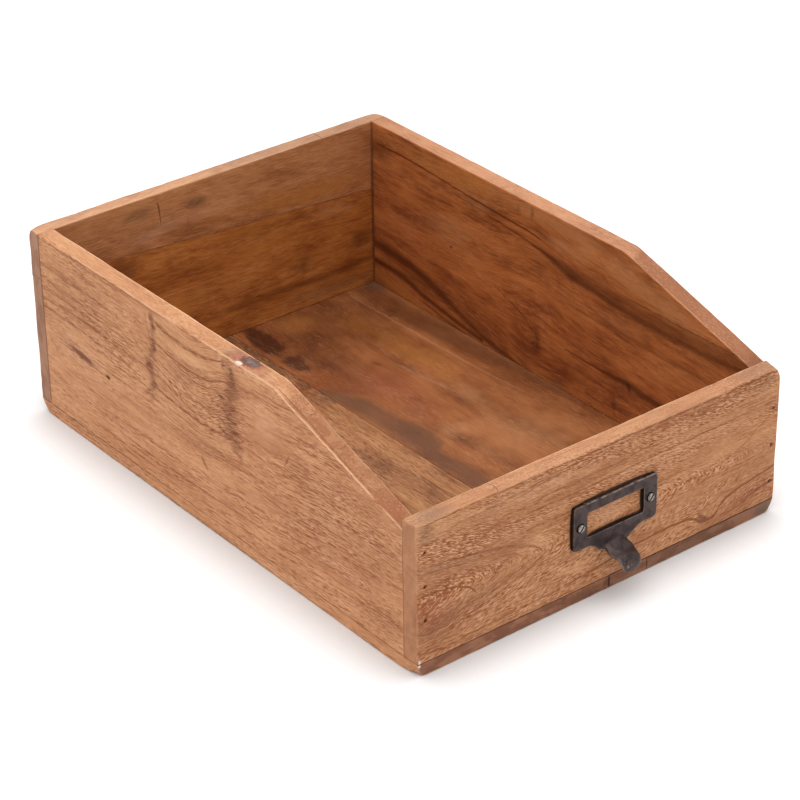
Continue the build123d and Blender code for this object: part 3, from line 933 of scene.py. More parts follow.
def front_marks(marks):
    """Grain lines, a small knot and red patches on the front board."""
    knot_line = [(-20, 15.5, 0.3), (0, 17.5, 0.8), (20, 19.7, 1.0), (55, 20.5, 1.2), (65, 18, 1.5),
                 (71, 14.5, 1.7), (77, 14, 1.5), (83, 19, 1.5), (92, 24, 1.4), (108, 27, 1.1), (124, 29, 0.9)]
    arch_top = [(-112, 64, 0.3), (-90, 60, 0.9), (-70, 56, 1.2), (-55, 51, 1.3), (-46, 46, 1.2),
                (-42, 41, 0.4)]
    swirl = [(-122, 48, 0.7), (-106, 46.5, 0.9), (-94, 42.5, 1.0), (-88, 38, 1.0), (-86.5, 35, 0.1)]
    marks.streaks(
        BROWN,
        (0.75, (-118, 89.0, 0.6), (-20, 89.1, 0.9), (20, 88.7, 1.3), (124, 88.7, 1.1)),
        (0.7, (-60, 69, 0.3), (-10, 69, 0.9), (40, 70, 0.8), (122, 70.5, 0.8)),
        (0.6, (-55, 75, 0.3), (0, 75.5, 0.8), (20, 76.5, 0.8), (45, 80, 0.3)),
        (0.5, (-118, 80, 0.3), (-70, 83, 1.0), (-30, 84, 0.7)),
        (0.45, (40, 84, 1.6), (80, 85, 2.0), (120, 84, 1.6)),
        (0.6, *arch_top),
        (0.6, (-122, 20, 0.3), (-96, 24, 0.9), (-66, 31, 1.2), (-50, 36, 1.2), (-42, 41, 0.4)),
        (0.5, (-76, 51, 0.4), (-63, 49, 0.9), (-56, 44, 1.0), (-55, 40, 0.2)),
        (0.45, (-88, 28, 0.3), (-70, 34, 0.8), (-58, 38, 0.9), (-55, 40, 0.2)),
    )
    marks.line(BROWN, 0.9, *swirl)
    marks.streak(DARK_LINE, 0.6, (-124, 26, 0.2), (-118, 24.5, 0.7), (-113, 25.5, 0.2))
    marks.streak(BROWN, 0.6, (-120, 12, 0.4), (-60, 13.5, 1.0), (-20, 15, 0.9), (10, 17, 0.3))
    marks.streak(BROWN, 0.5, (-110, 17, 0.3), (-80, 24, 0.9), (-40, 29, 0.8), (-20, 31, 0.2))
    marks.line(BROWN, 0.85, *knot_line)
    marks.blot(DARK_LINE, 0.6, (71, 17), (6.0, 2.2), -30, soft=0.7)
    marks.streak(BROWN, 0.8, (88, 12, 0.3), (100, 14.5, 1.0), (112, 18.5, 1.4), (123, 20, 1.2))
    marks.streak(BROWN, 0.45, (95, 31, 0.2), (102, 26, 1.2), (118, 26.5, 1.2))
    marks.blot(DARK_LINE, 0.5, (117.5, 86), (2.6, 1.6), soft=0.7)
    marks.streak(BROWN, 0.45, (85, 47, 0.2), (98, 51, 0.8), (113, 60, 0.7), (120, 63, 0.2))

    # Painted shade round the label holder, marks and a painted highlight on the top edge, and two spots on
    # the left corner
    marks.knot(BLACK, 0.9, (5, -175, 60.9), (31.5, 2.5, 1.6), soft=0.4, ragged=0.5)
    marks.knot(BLACK, 0.8, (-24.1, -175, 48), (0.7, 2.5, 13), soft=0.5, ragged=0.5)
    marks.line(SCAR, 0.8, (-175, -73, 0.3), (-170, -71, 0.5), (-165, -72, 0.4), crossing=True, on_top=True)
    marks.streak(BROWN, 0.5, (-90, -166.5, 0.2), (-20, -167.5, 0.5), (50, -166.5, 0.3), on_top=True)
    # A painted highlight along the top's front arris
    marks.streak(EDGE_HIGHLIGHT, 0.5, (-100, -164.8, 0.4), (0, -164.8, 0.6), (110, -164.8, 0.4), on_top=True)
    marks.knots(
        BLACK,
        (0.9, (25.4, -175, 48), (1.7, 2.5, 10.0)), (0.9, (5, -175, 39.6), (24.0, 2.5, 1.7)),
        soft=0.5, ragged=0.4,
    )
    marks.knot(CHALK, 0.9, (-123.6, -174.6, 9.2), (1.0, 1.2, 1.6), soft=0.5, ragged=1.2)
    marks.knot(RED_BROWN, 0.3, (-125, -175, 34), (7, 6, 14), soft=0.9, ragged=1.2)


def corner_dark_line(marks):
    """The dark line in the corner between the back board and the right side board."""
    marks.knot(BURNT, 0.6, (113.6, 165, 60), (1.7, 3.0, 90), soft=0.7, ragged=0.5)


def back_lower_marks(marks):
    """A pale thread and a few faint dark ones."""
    marks.streak(PALE, 0.16, (-45, 50, 0.2), (-10, 50, 1.1), (30, 48, 0.2))
    marks.streak(HEART, 0.3, (60, 61, 0.3), (80, 58, 1.0), (104, 55, 0.3))
    marks.line(HEART, 0.25, (-10, 27, 0.5), (40, 26, 4.4), (75, 25, 5.0), (112, 26, 3.0), soft=1.0)
    marks.line(HEART, 0.5, (-85, 86.2, 0.4), (0, 80.3, 0.5), (112, 72.6, 0.6))
    corner_dark_line(marks)


def back_upper_marks(marks):
    """A short split and a crack in the top edge."""
    marks.line(DARK_LINE, 0.7, (97, -42, 0.2), (104, -42.5, 0.6), (109, -43, 0.9), (112, -44, 0.2),
               crossing=True)
    marks.streak(BROWN, 0.4, (90, -24, 0.2), (94, -23, 0.6), (98, -24, 0.1), crossing=True)
    marks.knot(CHALK, 0.6, (-95, 174, 118), (5, 1.6, 1.2), soft=0.6, ragged=2.5)
    marks.knot(DARK_LINE, 0.6, (76, 170, 118), (0.5, 8, 3), soft=0.6, ragged=0.8)
    corner_dark_line(marks)


def plank_left_marks(marks):
    """Brown streaks along the golden bottom plank."""
    marks.streak(BROWN, 0.3, (150, -8, 1.6), (60, -9, 3.0), (-20, -16, 4.0), (-160, -22, 2.0), soft=1.0)
    marks.knot(DARK_LINE, 0.6, (-16, -175, 3), (28, 3, 7), soft=0.8, ragged=1.0)
    marks.streak(BROWN, 0.45, (60, -28, 1.0), (-40, -34, 3.0), (-150, -40, 2.0), soft=1.0)
    marks.streak(BROWN, 0.4, (120, -60, 1.0), (0, -64, 3.0), (-150, -62, 2.0), soft=1.0)
    marks.knot(DARK_LINE, 0.6, (-60, -175, 8.2), (140, 3, 0.7), soft=0.5, ragged=0.4)
    marks.knot(BLACK, 0.8, (4, -175, 4), (1.0, 3, 4.6), soft=0.5, ragged=0.6)
    marks.knot(CHALK, 0.9, (-123.6, -174.6, 7), (1.0, 1.2, 1.2), soft=0.5, ragged=1.2)
    marks.knot(FADED, 0.5, (-60, -175, 0), (70, 3, 1.6), soft=0.8, ragged=1.5)
    marks.knot(FADED, 0.5, (-125, 20, 0.5), (2, 160, 1.8), soft=0.8, ragged=1.5)


def plank_right_marks(marks):
    """A grey smudge beside the joint, pale threads, a small knot and cracks in the front end."""
    smudge_right_side = ((78, 9), (61, 15), (54, 20), (46, 23.5), (22, 24), (15, 28), (-1, 30), (-8, 29),
                         (-16, 25), (-24, 18), (-31, 19), (-50, 22), (-68, 14))
    smudge = [(y, x / 2 + 1, x / 2 - 1) for y, x in smudge_right_side]
    dark_band = [(163, 102, 10.0), (147, 102, 11.5), (60, 105.5, 10.0), (10, 110, 6.5), (-35, 112, 3.0)]
    marks.line(FADED, 0.62, *smudge, soft=0.65)
    marks.line(DARK_LINE, 0.42, *dark_band)
    marks.streak(GREY, 0.35, (150, 110, 1.0), (90, 110.5, 2.0), (20, 111.5, 1.6), (-20, 112, 0.3), soft=1.0)
    marks.streak(PALE, 0.2, (160, 91, 0.5), (100, 91.5, 1.4), (40, 93, 1.2), (-10, 97, 0.2))
    marks.streak(PALE, 0.15, (72, 59, 0.3), (50, 61.5, 2.6), (25, 65, 0.2), soft=1.0)
    marks.blot(DARK_LINE, 0.6, (81, 50), (5.5, 1.8), -12, soft=0.8)
    marks.knot(BLACK, 0.8, (4, -175, 4), (0.9, 3, 4.6), soft=0.5, ragged=0.6)
    marks.knot(BLACK, 0.8, (31, -175, 4), (0.6, 3, 4.6), soft=0.5, ragged=0.8)
    marks.knot(BLACK, 0.8, (60, -175, 8.2), (140, 3, 0.8), soft=0.5, ragged=0.4)
    marks.knot(FADED, 0.4, (60, -175, 3), (40, 3, 7), soft=0.8, ragged=1.5)
    marks.knot(GREY, 0.7, (117, -175, 4), (11, 3, 7), soft=0.8, ragged=1.0)
    marks.knot(FADED, 0.5, (30, -175, 0), (100, 3, 1.6), soft=0.8, ragged=1.5)


def plain_board(node, slot, **changes):
    """What a board has when nothing else is said. Each board adds its own.

    Edges are named after each rounding radius. Busy zones and stains are places along and across
    the grain, half sizes, and a change or a strength, and a stain can add its turn and softness.
    """
    board = {"node": node, "slot": slot, "bottom": None, "top": None, "bends": None, "nails": (),
             "nailed": None, "pits": (), "busy": (), "top_stains": (), "clean_outside": 0.0}
    board.update(changes)
    return board


BOARDS = (
    plain_board(
        "front_board", "tan_wood", grain=0, across=2, inner="+y", joints=("-z",), nailed="-y",
        nails=front_nails, bends=front_bends, marks=front_marks,
        edges={worn_radius: "-x-y +x-y -y+z -x+z +x+z", inner_top_radius: "+y+z"},
        busy=(
            (-95, 66, 40, 12, 0.4), (-60, 78, 60, 10, 0.1), (80, 60, 50, 14, -0.35),
            (5, 47, 24, 9, -0.6), (95, 80, 30, 8, 0.2), (-70, 20, 60, 10, 0.4),
        ),
        stains=(
            (RED_BROWN, -112, 37, 20, 19, 0.65, 0, 0.8), (RED_BROWN, -115, 31, 8, 3, 0.6, 6, 0.8),
            (RED_BROWN, 108, 19, 17, 8, 0.6, 14, 0.8), (GREY, -119, 85, 8, 10, 0.5),
            (BROWN, 100, 89, 24, 3, 0.4, 0, 0.8), (GREY, 112, 84, 10, 8, 0.3),
            (PALE, -60, 62, 30, 8, 0.2, 10, 0.9), (PALE, 40, 66, 40, 7, 0.2), (BROWN, -90, 50, 40, 42, 0.2),
            (RED_BROWN, -90, 60, 60, 40, 0.1), (PALE, -50, 82, 80, 8, 0.2), (PALE, 2, 48, 22, 9, 0.2),
            (FRESH, -43, 51, 16, 7, 0.6), (FRESH, -21, 22, 22, 6, 0.6, 5, 0.9), (BROWN, -112, 20, 16, 8, 0.4),
            (BROWN, 92, 20, 14, 7, 0.3, 12, 0.9), (BROWN, 70, 81, 14, 4, 0.45), (BROWN, 18, 79, 24, 4, 0.35),
            (RED_BROWN, -70, 50, 11, 10, 0.35),
        ),
        top_stains=(
            (GREY, -111, -170, 18, 12, 0.65), (BROWN, 45, -170, 18, 12, 0.25),
            (GREY, 114, -170, 26, 12, 0.45), (BROWN, -106, -168, 10, 8, 0.3),
        ),
        look=base_look(
            outer=(colour(168, 105, 66), colour(195, 136, 92), colour(214, 156, 110)),
            end=(colour(164, 110, 78), colour(186, 130, 95)), end_share=0.6,
            lines=0.85, pores=1.1, pore_length=3.4, pore_turn=0.3, flecks=0.6, relief=0.6, cloud=0.4,
            top_pale=0.14, glint=0.22, rub=0.25,
        ),
    ),
    plain_board(
        "back_board_lower", "orange_wood", grain=0, across=2, inner="-y", joints=("-z",), nailed="+y",
        nails=back_nails, top=plank_joint_height, marks=back_lower_marks, clean_outside=0.7,
        edges={worn_radius: "-x+y +x+y", 0.2: "-y+z"},
        stains=(
            (GOLD, 30, 64, 60, 18, 0.35, -4, 0.9), (HEART, -72, 74, 24, 13, 0.5), (HEART, 58, 38, 15, 9, 0.6),
            (HEART, 105, 41, 14, 9, 0.6), (HEART, 40, 25, 80, 5, 0.35), (GREY, 80, 15, 60, 7, 0.3),
            (HEART, -5, 40, 34, 9, 0.2, -4, 0.9), (GOLD, 80, 54, 26, 9, 0.25, -8, 0.9),
            (TAN, 80, 68, 24, 7, 0.35, -6, 0.9),
        ),
        look=base_look(
            outer=(colour(158, 104, 72), colour(194, 138, 100), colour(212, 158, 120)),
            inner=(colour(134, 72, 26), colour(172, 102, 44), colour(198, 128, 62)),
            end=(colour(142, 98, 76), colour(168, 122, 96)), end_share=0.9,
            lines=0.4, pores=0.3, cloud=0.65, broad=0.4, figure=0.4, figure_turn=0.2, band=0.15,
        ),
    ),
    plain_board(
        "back_board_upper", "brown_wood", grain=0, across=2, inner="-y", joints=("-z",), nailed="+y",
        nails=back_nails, bottom=plank_joint_height, marks=back_upper_marks, clean_outside=0.7,
        edges={worn_radius: "-x+y +x+y +y+z -x+z +x+z", inner_top_radius: "-y+z", 0.2: "-y-z"},
        stains=(
            (FADED, -16, 104, 13, 7, 0.7), (FADED, -58, 108, 16, 6, 0.5), (FADED, -45, 96, 45, 10, 0.1),
            (BROWN, 110, 103, 7, 12, 0.35), (TAN, 84, 108, 26, 8, 0.35), (GOLD, 55, 86, 75, 10, 0.7, -4, 0.9),
            (BROWN, -100, 90, 30, 12, 0.35), (PALE, -20, 96, 50, 6, 0.15),
            (BROWN, 40, 104, 30, 6, 0.2, -6, 0.9), (PALE, -50, 93, 24, 7, 0.25),
        ),
        top_stains=((GREY, 62, 170, 92, 22, 0.32, 0, 0.4), (BROWN, 2, 170, 15, 12, 0.3)),
        look=base_look(
            outer=(colour(168, 114, 82), colour(204, 150, 112), colour(222, 170, 130)),
            inner=(colour(144, 88, 50), colour(184, 122, 76), colour(206, 146, 96)),
            end=(colour(146, 102, 80), colour(172, 126, 100)), end_share=0.9,
            lines=0.4, pores=0.35, cloud=0.5, broad=0.3, figure=0.35, figure_turn=0.22, band=0.15,
        ),
    ),
    plain_board(
        "left_side_board", "tan_wood", grain=1, across=2, inner="+x", joints=("-y", "+y", "-z"),
        top=left_top, bends=left_bends, marks=left_marks,
        edges={worn_radius: "-x+z", inner_top_radius: "+x+z"},
        pits=(
            ("-x", (-125, 100.3, 53.6), (1, 1.7, 0.8), 1.5), ("-x", (-125, 127, 56), (1, 12, 2.2), 0.45),
            ("+z", (-118.8, -31, 118), (3.0, 5.0, 1), 0.35),
        ),
        busy=(
            (130, 86, 45, 16, 0.7), (-115, 62, 45, 26, 0.8), (18, 102, 24, 4, -0.9),
            (-52, 90, 16, 13, -0.8), (12, 80, 34, 14, 0.8), (90, 40, 70, 12, -0.4),
        ),
        stains=(
            (BROWN, -21, 88, 12, 34, 0.4), (BROWN, 53, 92, 8, 30, 0.2), (PALE, 128, 57, 34, 11, 0.2, 6, 0.7),
            (RED_BROWN, 128, 57, 26, 6, 0.5, 6, 0.9), (PALE, -50, 92, 18, 12, 0.2),
            (BROWN, -60, 82, 9, 5, 0.3), (BROWN, 150, 31, 9, 3, 0.3), (BROWN, -140, 60, 40, 22, 0.12),
            (FRESH, 18, 102, 27, 5.5, 0.6), (RED_BROWN, -110, 45, 60, 30, 0.25),
            (BROWN, -148, 20, 26, 14, 0.3), (FRESH, -45, 101, 22, 7, 0.25), (BROWN, -50, 60, 15, 5, 0.2),
            (BROWN, 148, 60, 13, 5, 0.25), (FRESH, 90, 72, 75, 42, 0.17, 0, 0.8),
        ),
        top_stains=(
            (BROWN, -125, -119, 95, 24, 0.68, 0, 0.7), (RED_BROWN, -152, -119, 16, 10, 0.3),
            (BROWN, 8, -119, 18, 12, 0.15), (GREY, -26, -119, 22, 14, 0.75), (BROWN, -30, -119, 20, 14, 0.4),
        ),
        look=base_look(lines=0.82, pores=0.65),
    ),
    plain_board(
        "right_side_board", "orange_wood", grain=1, across=2, inner="-x", joints=("-y", "+y", "-z"),
        top=right_top, bends=right_bends, marks=right_marks, clean_outside=0.7,
        edges={0.8: "+x+z", inner_top_radius: "-x+z"},
        stains=(
            (GOLD, 80, 110, 90, 8, 0.5, 0, 0.8), (TAN, 0, 113, 75, 7, 0.4, 0, 0.8),
            (TAN, -80, 100, 65, 11, 0.45, 12, 0.8), (TAN, -20, 101, 34, 7, 0.35), (TAN, 62, 100, 22, 8, 0.3),
            (TAN, 92, 71, 46, 15, 0.3), (TAN, -60, 71, 30, 8, 0.2), (TAN, -8, 101, 16, 6, 0.3),
            (GOLD, 135, 11, 45, 9, 0.5, 5, 0.8), (RED_BROWN, 132, 62, 36, 28, 0.1),
            (HEART, 12, 32, 7, 16, 0.35), (FADED, -10, 11, 13, 6, 0.5), (HEART, 158, 103, 17, 14, 0.5),
            (HEART, 105, 98, 7, 6, 0.3), (HEART, -40, 85, 100, 8, 0.3, 2.0, 0.9),
            (HEART, -20, 30, 70, 26, 0.15), (HEART, 40, 14, 50, 12, 0.25, 8, 0.9),
            (HEART, 125, 30, 55, 13, 0.3, 8, 0.9),
        ),
        top_stains=(
            (BROWN, -130, 119, 80, 26, 0.64, 0, 0.35), (BROWN, -168, 119, 22, 16, 0.6, 0, 0.8),
            (BROWN, 162, 119, 22, 14, 0.3),
        ),
        look=base_look(
            inner=(colour(130, 67, 32), colour(184, 109, 56), colour(208, 132, 74)),
            outer=(colour(168, 110, 74), colour(198, 138, 100), colour(212, 154, 114)),
            lines=0.35, pores=0.35, band=0.3, cloud=0.5, figure=0.3, glint=0.3,
        ),
    ),
    plain_board(
        "bottom_plank_left", "golden_wood", grain=1, across=0, inner="+z", joints=("+x",), nailed="-z",
        nails=bottom_nails, marks=plank_left_marks,
        edges={worn_radius: "-x-y -x+y", underside_radius: "-x-z -y-z +y-z"},
        stains=(
            (DARK_LINE, 130, -5, 60, 20, 0.6), (BROWN, 80, -3, 40, 7, 0.5),
            (FADED, 68, 3, 11, 6, 0.6, 0, 0.6), (TAN, 30, -14, 60, 12, 0.35),
        ),
        look=base_look(
            inner=(colour(126, 78, 44), colour(176, 119, 74), colour(202, 145, 96)),
            end=(colour(130, 83, 60), colour(160, 109, 80)), end_share=1.0, inner_smooth=0.35,
            line_outer=colour(170, 108, 68),
        ),
    ),
    plain_board(
        "bottom_plank_right", "orange_wood", grain=1, across=0, inner="+z", joints=("-x",), nailed="-z",
        nails=bottom_nails, marks=plank_right_marks,
        edges={worn_radius: "+x-y +x+y", underside_radius: "+x-z -y-z +y-z"},
        stains=(
            (BURNT, 100, 34, 72, 19, 0.5, 0, 1.0), (BROWN, 82, 13, 26, 15, 0.9, 0, 0.7),
            (HEART, 140, 60, 60, 64, 0.55, 0, 1.0), (RED_BROWN, 54, 38, 48, 25, 0.45, 0, 0.8),
            (GOLD, 151, 42, 15, 17, 0.35, 0, 0.8), (GOLD, 72, 76, 48, 16, 0.4, -2, 0.7),
            (GOLD, 128, 72, 34, 12, 0.3), (TAN, 18, 70, 24, 11, 0.4),
            (DARK_LINE, 80, 103, 80, 11, 0.25, -3.9, 0.6), (GREY, 160, 112, 16, 14, 0.5),
            (TAN, -38, 65, 45, 42, 0.35), (BROWN, -20, 91, 10, 8, 0.5, 0, 0.8),
            (BURNT, 145, 15, 25, 10, 1.0, 0, 0.35), (BURNT, 112, 13, 15, 7, 0.95, 0, 0.5),
            (FADED, 56, 12, 24, 11, 0.35, -6, 0.7), (FADED, 2, 15, 22, 14, 0.3, 0, 0.8),
            (RED_BROWN, 20, 40, 22, 16, 0.25), (TAN, -8, 36, 13, 12, 0.4),
        ),
        look=base_look(
            inner=(colour(112, 60, 28), colour(152, 90, 48), colour(180, 116, 68)),
            end=(colour(118, 76, 54), colour(146, 100, 76)), end_share=1.0,
            lines=0.2, pores=0.2, cloud=0.55, band=0.15, broad=0.5, figure=0.1, fibre=0.25,
        ),
    ),
)

for number, board in enumerate(BOARDS):
    piece = build_board(board, number + 1)
    piece.data.materials.append(wood_material(board))
    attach(piece, "root")
    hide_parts(board["node"])


def metal_graph(name, base, patch, rough, metallic, patch_size, relief):
    """Metal with patches of another shade, fine speckle and a slightly uneven skin, and its shade."""
    graph = Graph(bpy.data.materials.new(name))
    position = graph.position()
    patches = graph.noise(position, patch_size, patch_size, patch_size, detail=4.0, roughness=0.6)
    speckle = graph.noise(position, 0.5, 0.5, 0.5, detail=2.0)
    shade = graph.mix(graph.range(patches, 0.42, 0.66), base, patch)
    shade = graph.mix(graph.range(speckle, 0.5, 0.8, 0.0, 0.35), shade, patch)
    graph.give("Metallic", metallic)
    graph.give("Roughness", graph.range(patches, 0.3, 0.7, rough - 0.1, rough + 0.15))
    graph.give("Normal", graph.bump(graph.product(speckle, relief)))
    return graph, shade


def nail_rust():
    """Brown rust on old nails."""
    graph, shade = metal_graph("nail_rust", colour(58, 34, 24), colour(104, 56, 34), 0.75, 0.3, 1.2, 0.05)
    graph.give("Base Color", shade)
    return graph.owner


def cast_iron():
    """Blackened iron, bright where hands have rubbed it and where highlights are painted, with painted shade
    where it meets the wood and in its window.
    """
    graph, shade = metal_graph("cast_iron", colour(72, 58, 55), colour(54, 44, 44), 0.42, 0.75, 5.0, 0.05)
    # Lighter where worn and where highlights are painted
    shade = graph.mix(graph.attribute("worn"), shade, colour(136, 124, 118))
    # Painted shade on the casting's walls next to the wood and in its window
    graph.give("Base Color", graph.mix(graph.attribute("painted_shade"), shade, colour(22, 14, 12)))
    return graph.owner


screws_low, screws_high = node_box("label_holder_screws")
screw_head = screws_high[2] - screws_low[2]
screw_turn = math.radians(50)


def screw_steel():
    """Old steel with painted shade in the screws' slots and round their heads."""
    bright, dull = colour(168, 160, 152), colour(112, 104, 98)
    graph, shade = metal_graph("screw_steel", bright, dull, 0.36, 1.0, 1.5, 0.02)
    middle = (screws_low + screws_high) / 2
    spread = (screws_high[0] - screws_low[0] - screw_head) / 2
    split = graph.node("SeparateXYZ", {0: graph.position()})
    offset = graph.math("SUBTRACT", split.outputs[0], middle[0])
    x = graph.math("MULTIPLY_ADD", graph.math("SIGN", offset), -spread, offset)
    z = graph.math("SUBTRACT", split.outputs[2], middle[2])
    across = graph.math("MULTIPLY", x, -math.sin(screw_turn))
    across = graph.math("ABSOLUTE", graph.math("MULTIPLY_ADD", z, math.cos(screw_turn), across))
    radius = graph.length(graph.node("CombineXYZ", {0: x, 1: z, 2: 0.0}).outputs[0])
    # Painted shade in the slots and round the heads, where they sit in their holes
    slot_shade = graph.range(across, 0.55, 0.35, 0.0, 0.95)
    rim_shade = graph.range(radius, screw_head * 0.4, screw_head * 0.5, 0.0, 0.85)
    graph.give("Base Color", graph.mix(graph.math("MAXIMUM", slot_shade, rim_shade), shade, colour(34, 27, 24)))
    return graph.owner


fastener_metals = {"_nails": nail_rust(), "_screws": screw_steel()}
for name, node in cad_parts.items():
    for ending, metal in fastener_metals.items():
        if name.endswith(ending):
            for material_slot in node.material_slots:
                material_slot.material = metal


def neighbour_mean(points, edges):
    """Mean place of the points that each point shares an edge with."""
    total = np.zeros_like(points)
    count = np.zeros(len(points))
    for near, far in (edges.T, edges.T[::-1]):
        for axis in range(3):
            total[:, axis] += np.bincount(near, points[far, axis], len(points))
        count += np.bincount(near, minlength=len(points))
    return total / count[:, None]


# The casting: its window, where its pull starts and slopes, and where highlights are painted on the pull
holder_middle_x = (holder_low[0] + holder_high[0]) / 2
window_middle = (holder_middle_x, holder_high[2] - 13.25)
window_half_sizes = (19.5, 7.25)
pull_root = (holder_high[1] - 1.3, 29.75)
pull_slope = math.radians(27)
pull_half_width = 9.5
pull_bend_highlight = (3.5, -180.5, 27.5)
bend_highlight_half_sizes = (4.5, 2.6, 2.2)
pull_tip = (1.5, -189, 20.5)
# Fillets where the pull's flanks leave the neck
fillet_offset_x = 10.0
fillet_y = holder_high[1] - 2.2
fillet_z = 28.8
fillet_half_sizes = (4.5, 5.0, 3.6)
# Its skin: spacing of the points, smoothing steps all over and at the fillets, and their strength
skin_step = 0.32
skin_smoothing = 4
fillet_smoothing = 66
skin_share = 0.5
smoothing = 0.6


def shape_pull(points):
    """Narrows the pull's left flank and lifts its tip a little, as on the real casting."""
    x, y, z = points.T
    along = (pull_root[0] - y) * math.cos(pull_slope) + (pull_root[1] - z) * math.sin(pull_slope)
    left = np.clip((holder_middle_x - x) / pull_half_width, 0, 1)
    narrowed = 1.5 - 0.7 * smooth_step(4, 16, along)
    tip = smooth_step(6, 16, along)
    shift = left * smooth_step(0.5, 6.0, along) * narrowed + 0.5 * tip
    return points + np.stack([shift, 0 * y, 1.5 * tip], axis=1)


def soften(points, edges):
    """Smooths the casting's skin all over, and much more where its fillets lie."""
    fillet_share = np.zeros(len(points))
    for side in (-1, 1):
        place = np.array([holder_middle_x + side * fillet_offset_x, fillet_y, fillet_z])
        away = np.linalg.norm((points - place) / fillet_half_sizes, axis=1)
        fillet_share = np.maximum(fillet_share, 1 - smooth_step(0.3, 1.0, away))
    shares = [np.full(len(points), skin_share)] * skin_smoothing + [fillet_share] * fillet_smoothing
    for share in shares:
        points = points + share[:, None] * smoothing * (neighbour_mean(points, edges) - points)
    return points


def casting_wear_and_painted_light(points, normals, edges):
    """Where the casting is rubbed bright or has painted highlights, and where it gets painted shade."""
    # Raised edges are lighter: rubbed wear, and a painted highlight along the plate's arrises
    swell = np.einsum("ij,ij->i", points - neighbour_mean(points, edges), normals)[:, None]
    swell = np.repeat(swell, 3, axis=1)
    for _ in range(3):
        swell = neighbour_mean(swell, edges)
    rubbed = value_noise(points, 1.6, 81) + 0.5 * value_noise(points, 0.6, 82)
    worn = smooth_step(0.004, 0.022, swell[:, 0]) * smooth_step(-1.1, 0.6, rubbed)
    # Painted shade on the walls near the wood that don't face the front
    back = points[:, 1] - holder_high[1]
    facing = smooth_step(0.4, 0.8, -normals[:, 1])
    painted_shade = smooth_step(-1.9, -0.9, back) * (1 - facing)

    # The window's walls get painted shade and no wear, and the plate's left end is little worn
    reach = np.abs(points[:, (0, 2)] - window_middle) - window_half_sizes
    wall = smooth_step(0.8, 0.4, reach.max(axis=1)) * (1 - smooth_step(0.6, 0.95, -normals[:, 1]))
    painted_shade = np.maximum(painted_shade, 0.85 * wall)
    left_end = smooth_step(-17, -20, points[:, 0]) * smooth_step(33, 35, points[:, 2])
    worn = worn * (1 - wall) * (1 - 0.6 * left_end)

    # Painted highlights on the pull: along its left flank, on its bend and in specks near its tip
    on_pull = smooth_step(-4.0, -6.0, back)
    flank = smooth_step(0.3, 0.5, -normals[:, 0]) * smooth_step(0.9, 0.65, -normals[:, 0])
    bend = np.linalg.norm((points - pull_bend_highlight) / bend_highlight_half_sizes, axis=1)
    bend = smooth_step(1.0, 0.4, bend + 0.25 * rubbed) * smooth_step(0.2, 0.6, normals[:, 2])
    tip = smooth_step(7.0, 3.0, np.linalg.norm(points - pull_tip, axis=1))
    specks = tip * smooth_step(0.35, 0.6, value_noise(points, 0.7, 83))
    flank = flank * smooth_step(-0.9, 0.5, rubbed)
    worn = np.maximum(worn, on_pull * np.maximum(0.22 * flank, 0.6 * specks))
    return {"worn": np.maximum(worn, 0.35 * bend), "painted_shade": painted_shade}


def read_rows(items, field, width, kind=float):
    """One row of numbers for each vertex or edge of a mesh."""
    values = np.empty(len(items) * width, kind)
    items.foreach_get(field, values)
    return values.reshape(-1, width)


def remeshed_copy(source, name):
    """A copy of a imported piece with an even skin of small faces."""
    piece = bpy.data.objects.new(name, source.data.copy())
    bpy.context.scene.collection.objects.link(piece)
    remesh = piece.modifiers.new("cast_skin", "REMESH")
    remesh.mode = "VOXEL"
    remesh.voxel_size = skin_step * MM
    remesh.use_smooth_shade = True
    evaluated = piece.evaluated_get(bpy.context.evaluated_depsgraph_get())
    mesh = bpy.data.meshes.new_from_object(evaluated)
    piece.modifiers.clear()
    piece.data = mesh
    return piece


def build_holder():
    """The label holder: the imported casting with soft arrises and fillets, as casting leaves it."""
    holder = remeshed_copy(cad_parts["label_holder_pull"], "label_holder_casting")
    mesh = holder.data
    edges = read_rows(mesh.edges, "vertices", 2, int)
    points = soften(shape_pull(read_rows(mesh.vertices, "co", 3) / MM), edges)
    mesh.vertices.foreach_set("co", (points * MM).ravel())
    mesh.update()
    add_attributes(mesh, casting_wear_and_painted_light(points, read_rows(mesh.vertices, "normal", 3), edges))
    mesh.materials.clear()
    mesh.materials.append(cast_iron())
    return holder


holder = build_holder()
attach(holder, "root")
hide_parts("label_holder_pull")

# How bright the room is, and the light of its own that the floor shows away from the tray
sky_level = 0.72
floor_size = 6.0
floor_white = 0.8
floor_glow = 0.31
shadow_reach = 0.03
shadow_openness = 0.54
sun_strength = 1.55
sun_from = (-0.06, -0.04, 0.99)
sun_softness = math.radians(80)


def seen_directly(graph):
    """1 for rays from the camera and for mirror and glass rays, otherwise 0."""
    path = graph.node("LightPath")
    rays = [path.outputs[name] for name in ("Is Camera Ray", "Is Glossy Ray", "Is Transmission Ray")]
    return graph.math("MAXIMUM", graph.math("MAXIMUM", rays[0], rays[1]), rays[2])


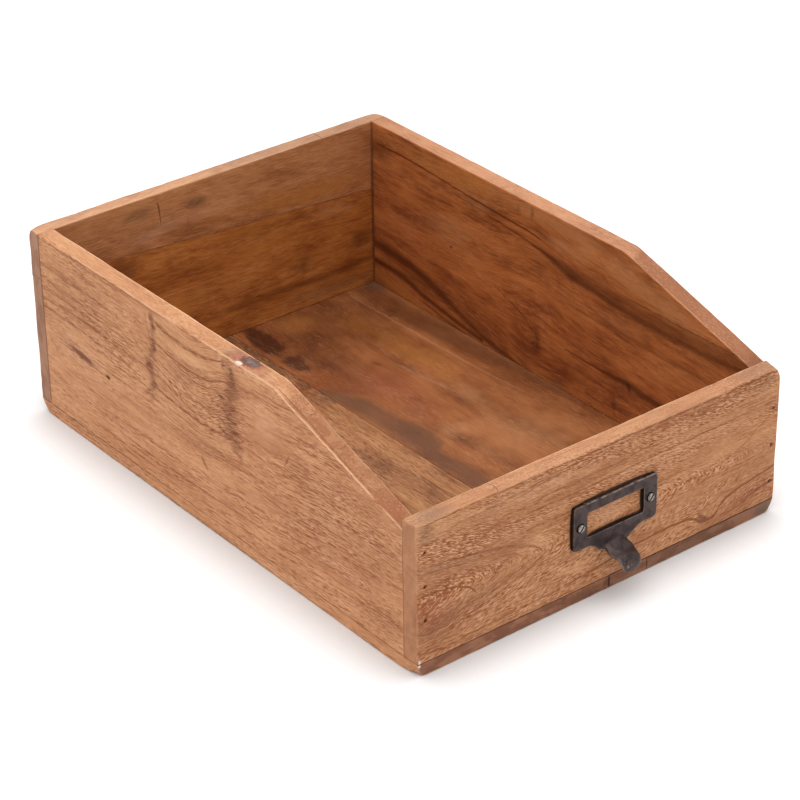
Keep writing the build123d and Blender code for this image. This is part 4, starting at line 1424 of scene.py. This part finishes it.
def build_floor():
    """A wide white floor that keeps the tray's soft shadow, deepened near the tray by painted shade."""
    mesh = bpy.data.meshes.new("floor")
    corners = [(floor_size * x, floor_size * y, 0) for x, y in ((-1, -1), (1, -1), (1, 1), (-1, 1))]
    mesh.from_pydata(corners, [], [(0, 1, 2, 3)])
    floor = bpy.data.objects.new("floor", mesh)
    bpy.context.scene.collection.objects.link(floor)
    graph = Graph(bpy.data.materials.new("floor_white"))
    graph.give("Base Color", (floor_white, floor_white, floor_white, 1.0))
    graph.give("Roughness", 0.9)
    graph.give("Specular IOR Level", 0.1)
    graph.give("Emission Color", (1.0, 1.0, 1.0, 1.0))
    # Painted shadow: the floor's glow fades where the tray hides it, deepening the cast shadow close to the
    # tray
    openness = graph.node("AmbientOcclusion", {"Distance": shadow_reach}).outputs["AO"]
    glow = graph.range(openness, shadow_openness, 1.0, 0.0, floor_glow, smooth=False)
    graph.give("Emission Strength", graph.product(seen_directly(graph), glow))
    mesh.materials.append(graph.owner)


def build_world():
    """An even white studio all round."""
    world = bpy.data.worlds.new("studio")
    graph = Graph(world)
    graph.give("Color", (1.0, 1.0, 1.0, 1.0))
    graph.give("Strength", graph.range(seen_directly(graph), 0.0, 1.0, sky_level, 1.0, smooth=False))
    bpy.context.scene.world = world


def build_sun():
    """One broad soft light from above, a little to the left."""
    data = bpy.data.lights.new("sun", "SUN")
    data.energy = sun_strength
    data.angle = sun_softness
    sun = bpy.data.objects.new("sun", data)
    sun.rotation_euler = Vector(sun_from).to_track_quat("Z", "Y").to_euler()
    bpy.context.scene.collection.objects.link(sun)


build_floor()
build_world()
build_sun()

# Camera fitted to the photograph's outline: place, axes and focal length
camera_place = (-0.839003, -1.073335, 0.825705)
camera_right = (0.78250193, -0.622545, -0.01133424)
camera_down = (-0.31944023, -0.38575917, -0.86553325)
camera_forward = (0.53446111, 0.68090204, -0.50072321)
camera_lens = 126.318

camera_data = bpy.data.cameras.new("camera")
camera_data.sensor_width = 36.0
camera_data.lens = camera_lens
camera_data.clip_start = 0.05
camera_data.clip_end = 50.0
camera = bpy.data.objects.new("camera", camera_data)
axes = Matrix((camera_right, -Vector(camera_down), -Vector(camera_forward))).transposed()
camera.matrix_world = Matrix.Translation(camera_place) @ axes.to_4x4()
bpy.context.scene.collection.objects.link(camera)
bpy.context.scene.camera = camera
bpy.context.scene.view_settings.view_transform = "Standard"
